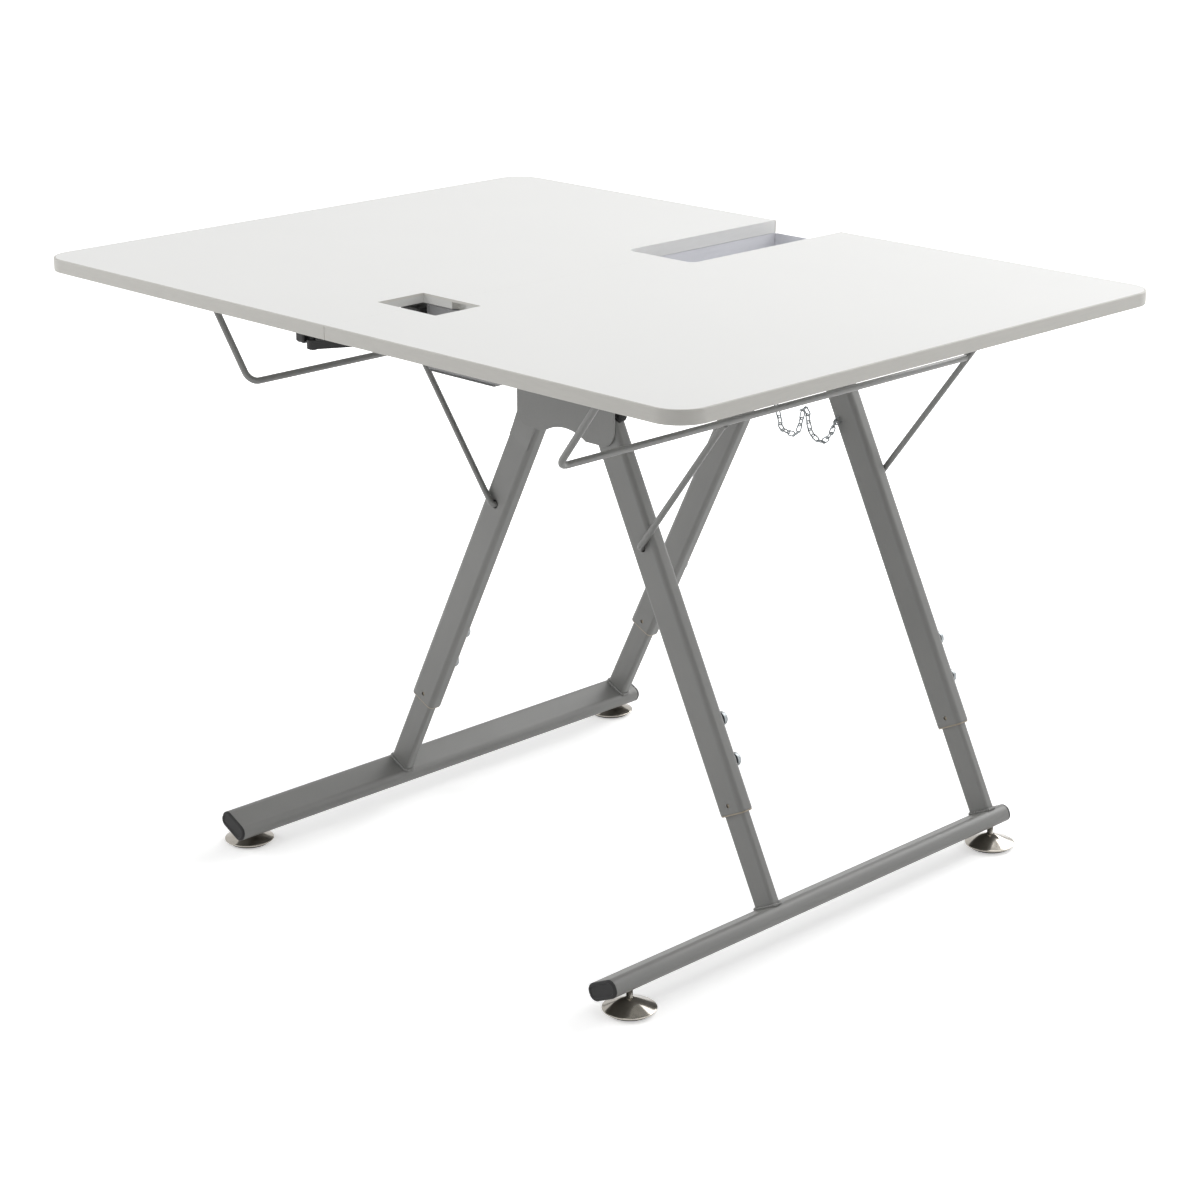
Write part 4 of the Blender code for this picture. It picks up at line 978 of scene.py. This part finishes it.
lever_corners = [
    (-LEVER_HALF, -LEVER_HALF, LEVER_ROUND), (LEVER_LENGTH, -LEVER_TIP, LEVER_TIP_ROUND),
    (LEVER_LENGTH, LEVER_TIP, LEVER_TIP_ROUND), (-LEVER_HALF, LEVER_HALF, LEVER_ROUND)]
lever_outline = rounded(lever_corners, 8)
head = LEVER_TOP - LEVER_THICK
lever_under = [Vector((p.x, p.y, head + LEVER_SLOPE * max(p.x, 0.0))) for p in lever_outline]
lever = skin([lever_under, flat(lever_outline, LEVER_TOP)])
latch_place = Matrix.Translation((LATCH_X, LATCH_Y, 0))
make("latch_arm", moved(lever, latch_place @ Matrix.Rotation(math.pi / 4, 4, "Z")), (black_plastic,),
     "seam_latch", ["latch_lever"], bevel=0.0008)
screw_profile = [(0.0026, head - 0.0014), (0.0044, head - 0.0012), (0.0050, head - 0.0006),
                 (0.0050, head + 0.001), (0.0030, head + 0.001), (0.0030, UNDERSIDE - GAP)]
latch_screw = moved(turned(screw_profile, 28), latch_place)
make("latch_screw", latch_screw, (black_plastic,), "seam_latch", ())
print("screws to place:", {body: len(spots) for body, spots in screw_places.items()})

# %% [markdown]
# ## What repeats: screws, threads, welds and chain links
# Screws, thread turns, weld ripples and links are one small shape many times over. Geometry Nodes put
# the shape on points, so the spacing is a number and not a loop in the mesh code. `Nodes` wires a tree
# in the way that `Finish` wires a material, and `grow` runs it and keeps the plain mesh.

# %% The tree builder
class Nodes(Graph):
    """A Geometry Nodes tree with named inputs."""

    def __init__(self, name, **sizes):
        super().__init__(bpy.data.node_groups.new(name, "GeometryNodeTree"))
        face = self.tree.interface
        face.new_socket("Geometry", in_out="INPUT", socket_type="NodeSocketGeometry")
        self.sockets = {}
        for label, value in sizes.items():
            kind = "NodeSocketInt" if isinstance(value, int) else "NodeSocketFloat"
            self.sockets[label] = face.new_socket(label, in_out="INPUT", socket_type=kind)
            self.sockets[label].default_value = value
        face.new_socket("Geometry", in_out="OUTPUT", socket_type="NodeSocketGeometry")
        self.entry = self.tree.nodes.new("NodeGroupInput")

    def given(self, label):
        """The signal of a named input."""
        return Signal(self, self.entry.outputs[label])

    def draw(self, least, most, seed):
        inputs = {"Min": least, "Max": most, "Seed": seed}
        return self.node("FunctionNodeRandomValue", inputs, "Value", data_type="FLOAT")

    def vector(self, **axes):
        return self.node("ShaderNodeCombineXYZ", axes)

    def stations(self, mode, label):
        """Points along the edges that come in, by a count or by a length."""
        line = self.node("GeometryNodeMeshToCurve", {"Mesh": self.given("Geometry")})
        inputs = {"Curve": line, mode.title(): self.given(label)}
        return self.node("GeometryNodeResampleCurve", inputs, mode=mode)

    def hoop(self, sides, radius):
        return self.node("GeometryNodeCurvePrimitiveCircle", {"Resolution": sides, "Radius": radius})

    def wire(self, path, sides, radius):
        """A round wire along a path."""
        inputs = {"Curve": path, "Profile Curve": self.hoop(sides, radius)}
        return self.node("GeometryNodeCurveToMesh", inputs)

    def put(self, points, shape, finish, **turn):
        """Puts the shape on the points, as plain mesh with a finish, and ends the tree."""
        inputs = {"Points": points, "Instance": shape, **turn}
        copies = self.node("GeometryNodeInstanceOnPoints", inputs)
        solid = self.node("GeometryNodeRealizeInstances", {"Geometry": copies})
        dressed = self.node("GeometryNodeSetMaterial", {"Geometry": solid, "Material": finish.material})
        self.feed(self.tree.nodes.new("NodeGroupOutput").inputs[0], dressed)


# %% Growing a piece from points
def grow(name, nodes, points, edges, body, slot, replaced=(), **sizes):
    """Runs a tree on a handful of points and keeps the plain mesh as a piece of one body."""
    seeds = bpy.data.meshes.new(name)
    seeds.from_pydata([tuple(p) for p in points], edges, [])
    piece = added(name, seeds)
    modifier = piece.modifiers.new("grow", "NODES")
    modifier.node_group = nodes.tree
    for label, value in sizes.items():
        modifier[nodes.sockets[label].identifier] = value
    smooth(bake(piece))
    settle(piece, body, replaced)
    print(name, len(piece.data.polygons), "faces")


# %% Wood screws below the leaves
screw_tree = Nodes("wood_screws", head=0.0040, rise=0.0016, slot=0.0009)
head, rise, slot = [screw_tree.given(label) for label in ("head", "rise", "slot")]
dome = screw_tree.node("GeometryNodeMeshCone", {
    "Vertices": 20, "Side Segments": 2, "Radius Top": head * 0.55, "Radius Bottom": head, "Depth": rise})
bar_size = screw_tree.vector(X=head * 0.95, Y=slot, Z=slot)
cross_head = screw_tree.tree.nodes.new("GeometryNodeMeshBoolean")
screw_tree.feed(cross_head.inputs["Mesh 1"], dome)
for turn_angle in (0.0, math.pi / 2):
    bar = screw_tree.node("GeometryNodeMeshCube", {"Size": bar_size})
    recess = screw_tree.node("GeometryNodeTransform", {
        "Geometry": bar, "Translation": screw_tree.vector(Z=rise), "Rotation": (0.0, 0.0, turn_angle)})
    screw_tree.feed(cross_head.inputs["Mesh 2"], recess)
upside_down = screw_tree.node("GeometryNodeTransform", {
    "Geometry": Signal(screw_tree, cross_head.outputs[0]), "Rotation": (math.pi, 0.0, 0.0)})
points = screw_tree.node("GeometryNodeMeshToPoints", {"Mesh": screw_tree.given("Geometry")})
screw_tree.put(points, upside_down, zinc, Rotation=screw_tree.vector(Z=screw_tree.draw(0.0, 3.0, 7)))
for body, spots in screw_places.items():
    grow(f"{body}_screws", screw_tree, spots, [], body, "zinc")

# %% Threads on the studs of the feet
THREAD_LOW, THREAD_HIGH = 0.0172, 0.0400
thread_tree = Nodes("stud_threads", radius=0.0034, crest=0.00035, turns=26)
hoop = thread_tree.hoop(24, thread_tree.given("radius"))
ridge = thread_tree.wire(hoop, 4, thread_tree.given("crest"))
thread_tree.put(thread_tree.stations("COUNT", "turns"), ridge, nickel)
for leg, centre in studs:
    ends = [Vector((centre.x, centre.y, z)) for z in (THREAD_LOW, THREAD_HIGH)]
    grow(f"{leg}_thread", thread_tree, ends, [(0, 1)], f"{leg}_foot", "nickel")

# %% [markdown]
# ## Weld beads
# A weld is a row of overlapping ripples, painted over. The same tree lays round drops along the foot of
# each leg, and round the joints of the rod supports. The spacing is a little under a drop's radius, so
# the ripples merge into one bead.

# %% Welds
WELD_STAND, WELD_LIFT = 0.0012, 0.0004
ROD_WELD, WELD_BELOW, WELD_BESIDE = 0.0040, 0.0038, 0.0036
weld_tree = Nodes("weld_beads", drop=0.0021, spacing=0.0019)
ball = weld_tree.node("GeometryNodeMeshIcoSphere", {
    "Radius": weld_tree.given("drop"), "Subdivisions": 2})
weld_tree.put(weld_tree.stations("LENGTH", "spacing"), ball, paint, Scale=weld_tree.draw(0.86, 1.12, 3))


def rings(loops):
    """The points of several closed loops, and the edges that close each of them."""
    points, edges = [], []
    for loop in loops:
        first = len(points)
        points += loop
        edges += [(first + i, first + (i + 1) % len(loop)) for i in range(len(loop))]
    return points, edges


def rod_weld(side, place):
    """A circle round a strut's end at the crossbar: below the bar in front, beside it at the back."""
    joint = on_support(side, CROSSBAR_RISE, STRUT_PLANES[place])
    deep = Vector((0, 1, 0))
    up = (on_support(side, CROSSBAR_RISE + 0.001, STRUT_PLANES[place]) - joint).normalized()
    third = up.cross(deep).normalized()
    first, offset = (deep, -WELD_BELOW * up) if place == "front" else (up, -WELD_BESIDE * deep)
    return ring(joint + offset, ROD_WELD, first, third, 20)


for side_name, side in SIDES.items():
    leg_feet = []
    for y in LEG_PLANES.values():
        loop = rectangle(INNER_WIDTH + WELD_STAND, INNER_DEPTH + WELD_STAND, INNER_CORNER, 0, y, 5)
        leg_feet.append([leg_axes(side) @ point for point in flat(loop, INNER_FOOT + WELD_LIFT)])
    grow(f"{side_name}_foot_welds", weld_tree, *rings(leg_feet), f"{side_name}_lower", "grey_paint")
    joints = [rod_weld(side, place) for place in STRUT_PLANES]
    grow(f"{side_name}_rod_welds", weld_tree, *rings(joints), f"{side_name}_support", "grey_paint",
         drop=0.0013, spacing=0.0011)

# %% [markdown]
# ## The chain
# A slack chain hangs in two loops between the back legs. Its route is a smooth curve through a few
# points, each given as a share of the chain's width and a drop below the pivots. Links are
# stadium-shaped wire, set along the route at their pitch, and each is turned a quarter against the last,
# which comes from whether its number is odd.

# %% The chain's route
CHAIN_FACE = LEG_PLANES["back"] - LEG_DEPTH / 2 - GAP
CHAIN_HANG = CHAIN_FACE - 0.007
CHAIN_START = CHAIN_FACE - 0.002
CHAIN_MARGIN = 0.003
CHAIN_HANGS = (
    (0.0, 0.035), (0.231, 0.109), (0.275, 0.125), (0.468, 0.129), (0.535, 0.112), (0.566, 0.0955),
    (0.592, 0.0915), (0.618, 0.0955), (0.650, 0.113), (0.70, 0.1245), (0.818, 0.1306), (0.905, 0.124),
    (0.972, 0.111), (1.0, 0.100))
chain_low, chain_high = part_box("leg_chain")
chain_left, chain_right = chain_low.x + CHAIN_MARGIN, chain_high.x - CHAIN_MARGIN
chain_width = chain_right - chain_left
keys = [Vector((chain_left + chain_width * share, CHAIN_HANG, PIVOT_Z - drop))
        for share, drop in CHAIN_HANGS]
chain_path = [Vector((chain_left, CHAIN_START, keys[0].z))]
for before, here, after, beyond in zip([keys[0], *keys], keys, keys[1:], [*keys[2:], keys[-1]]):
    leave, arrive = here + (after - before) / 6, after - (beyond - here) / 6
    chain_path += interpolate_bezier(here, leave, arrive, after, 8)[:-1]
chain_path += [keys[-1], Vector((chain_right, CHAIN_START, keys[-1].z))]
print("chain", round(sum((b - a).length for a, b in zip(chain_path, chain_path[1:])), 3), "long")

# %% Chain links
chain_tree = Nodes("chain_links", pitch=0.0090, length=0.0125, width=0.0062, wire=0.00095)
width = chain_tree.given("width")
stadium = chain_tree.node("GeometryNodeCurvePrimitiveQuadrilateral", {
    "Width": chain_tree.given("length"), "Height": width})
link_path = chain_tree.node("GeometryNodeFilletCurve", {
    "Curve": stadium, "Radius": width * 0.49, "Count": 5}, mode="POLY")
link = chain_tree.wire(link_path, 8, chain_tree.given("wire"))
odd = chain_tree.node("GeometryNodeInputIndex") % 2.0
tangent = chain_tree.node("GeometryNodeInputTangent")
along = chain_tree.node("FunctionNodeAlignRotationToVector", {"Vector": tangent}, axis="X")
roll = chain_tree.node("FunctionNodeAxisAngleToRotation", {
    "Axis": (1.0, 0.0, 0.0), "Angle": odd * (math.pi / 2)})
placed = chain_tree.node("FunctionNodeRotateRotation", {0: along, 1: roll}, rotation_space="LOCAL")
chain_tree.put(chain_tree.stations("LENGTH", "pitch"), link, zinc, Rotation=placed)
chain_line = [(index, index + 1) for index in range(len(chain_path) - 1)]
grow("slack_chain", chain_tree, chain_path, chain_line, "frame", "zinc", ["leg_chain"])

# %% [markdown]
# ## Studio
# The photograph is on plain white with faint shadows at the feet. To the camera, and in mirrors, the
# floor adds a white glow to its lit colour, which leaves only the darker parts of a shadow. The glow
# rises to full white further out, so the floor runs into the white of the world. To everything else the
# world is a soft sky, brighter near the horizon. Four large lamps stand at the front left, above, at the
# right and behind.

# %% Floor
FLOOR_OWN_WHITE = 0.44
SHADOW_REACH, SHADOW_FADE = 0.75, 0.9
FLOOR_HALF, FLOOR_DROP = 9, 0.0005
floor_corners = [(x * FLOOR_HALF, y * FLOOR_HALF, 0) for x, y in ((-1, -1), (1, -1), (1, 1), (-1, 1))]
floor_mesh = bpy.data.meshes.new("floor")
floor_mesh.from_pydata(floor_corners, [], [(0, 1, 2, 3)])
floor = added("floor", floor_mesh)
floor.location.z = -FLOOR_DROP


def seen_white(graph):
    """One for the rays that show the background: camera, mirror and see-through."""
    kinds = ("Is Camera Ray", "Is Glossy Ray", "Is Transmission Ray")
    first, second, third = [graph.node("ShaderNodeLightPath", out=kind) for kind in kinds]
    return graph.node("ShaderNodeMath", {0: first + second, 1: third}, operation="ADD", use_clamp=True)


ground = Finish("studio_floor", (0.93, 0.93, 0.93), 0.9)
distance = ground.node("ShaderNodeVectorMath", {0: ground.place}, "Value", operation="LENGTH")
fade = ground.ramp(distance, SHADOW_REACH, SHADOW_REACH + SHADOW_FADE, FLOOR_OWN_WHITE, 1.0)
ground.set("Emission Color", seen_white(ground) * fade)
ground.set("Emission Strength", 1.0)
floor_mesh.materials.append(ground.material)
print("floor", 2 * FLOOR_HALF, "wide")

# %% World and lamps
SKY_LOW, SKY_HIGH = 0.58, 0.20
world = bpy.data.worlds.new("studio")
world.use_nodes = True
bpy.context.scene.world = world
sky = Graph(world.node_tree)
way = sky.node("ShaderNodeTexCoord", out="Generated")
height = sky.node("ShaderNodeSeparateXYZ", {0: way}, "Z")
glow = sky.ramp(height, -0.1, 0.9, SKY_LOW, SKY_HIGH)
white_seen = seen_white(sky)
backdrop = sky.tree.nodes["Background"]
sky.feed(backdrop.inputs["Color"], (1.0, 1.0, 1.0, 1.0))
sky.feed(backdrop.inputs["Strength"], glow * (1 - white_seen) + white_seen)

LAMPS = {"key": ((-2.6, -2.8, 2.4), 2.4, 56.0), "top": ((0.6, 0.4, 3.6), 3.0, 36.0),
         "side": ((3.0, 2.2, 1.9), 2.0, 16.0), "back": ((0.2, 3.7, 2.5), 3.0, 100.0)}
LAMP_AIM = Vector((0, 0, 0.5))
for name, (place, size, power) in LAMPS.items():
    lamp_data = bpy.data.lights.new(name, "AREA")
    lamp_data.size = size
    lamp_data.energy = power
    lamp = added(name, lamp_data)
    lamp.location = place
    lamp.rotation_euler = (LAMP_AIM - Vector(place)).to_track_quat("-Z", "Y").to_euler()
bpy.context.scene.view_settings.view_transform = "Standard"
print("lamps:", len(LAMPS))
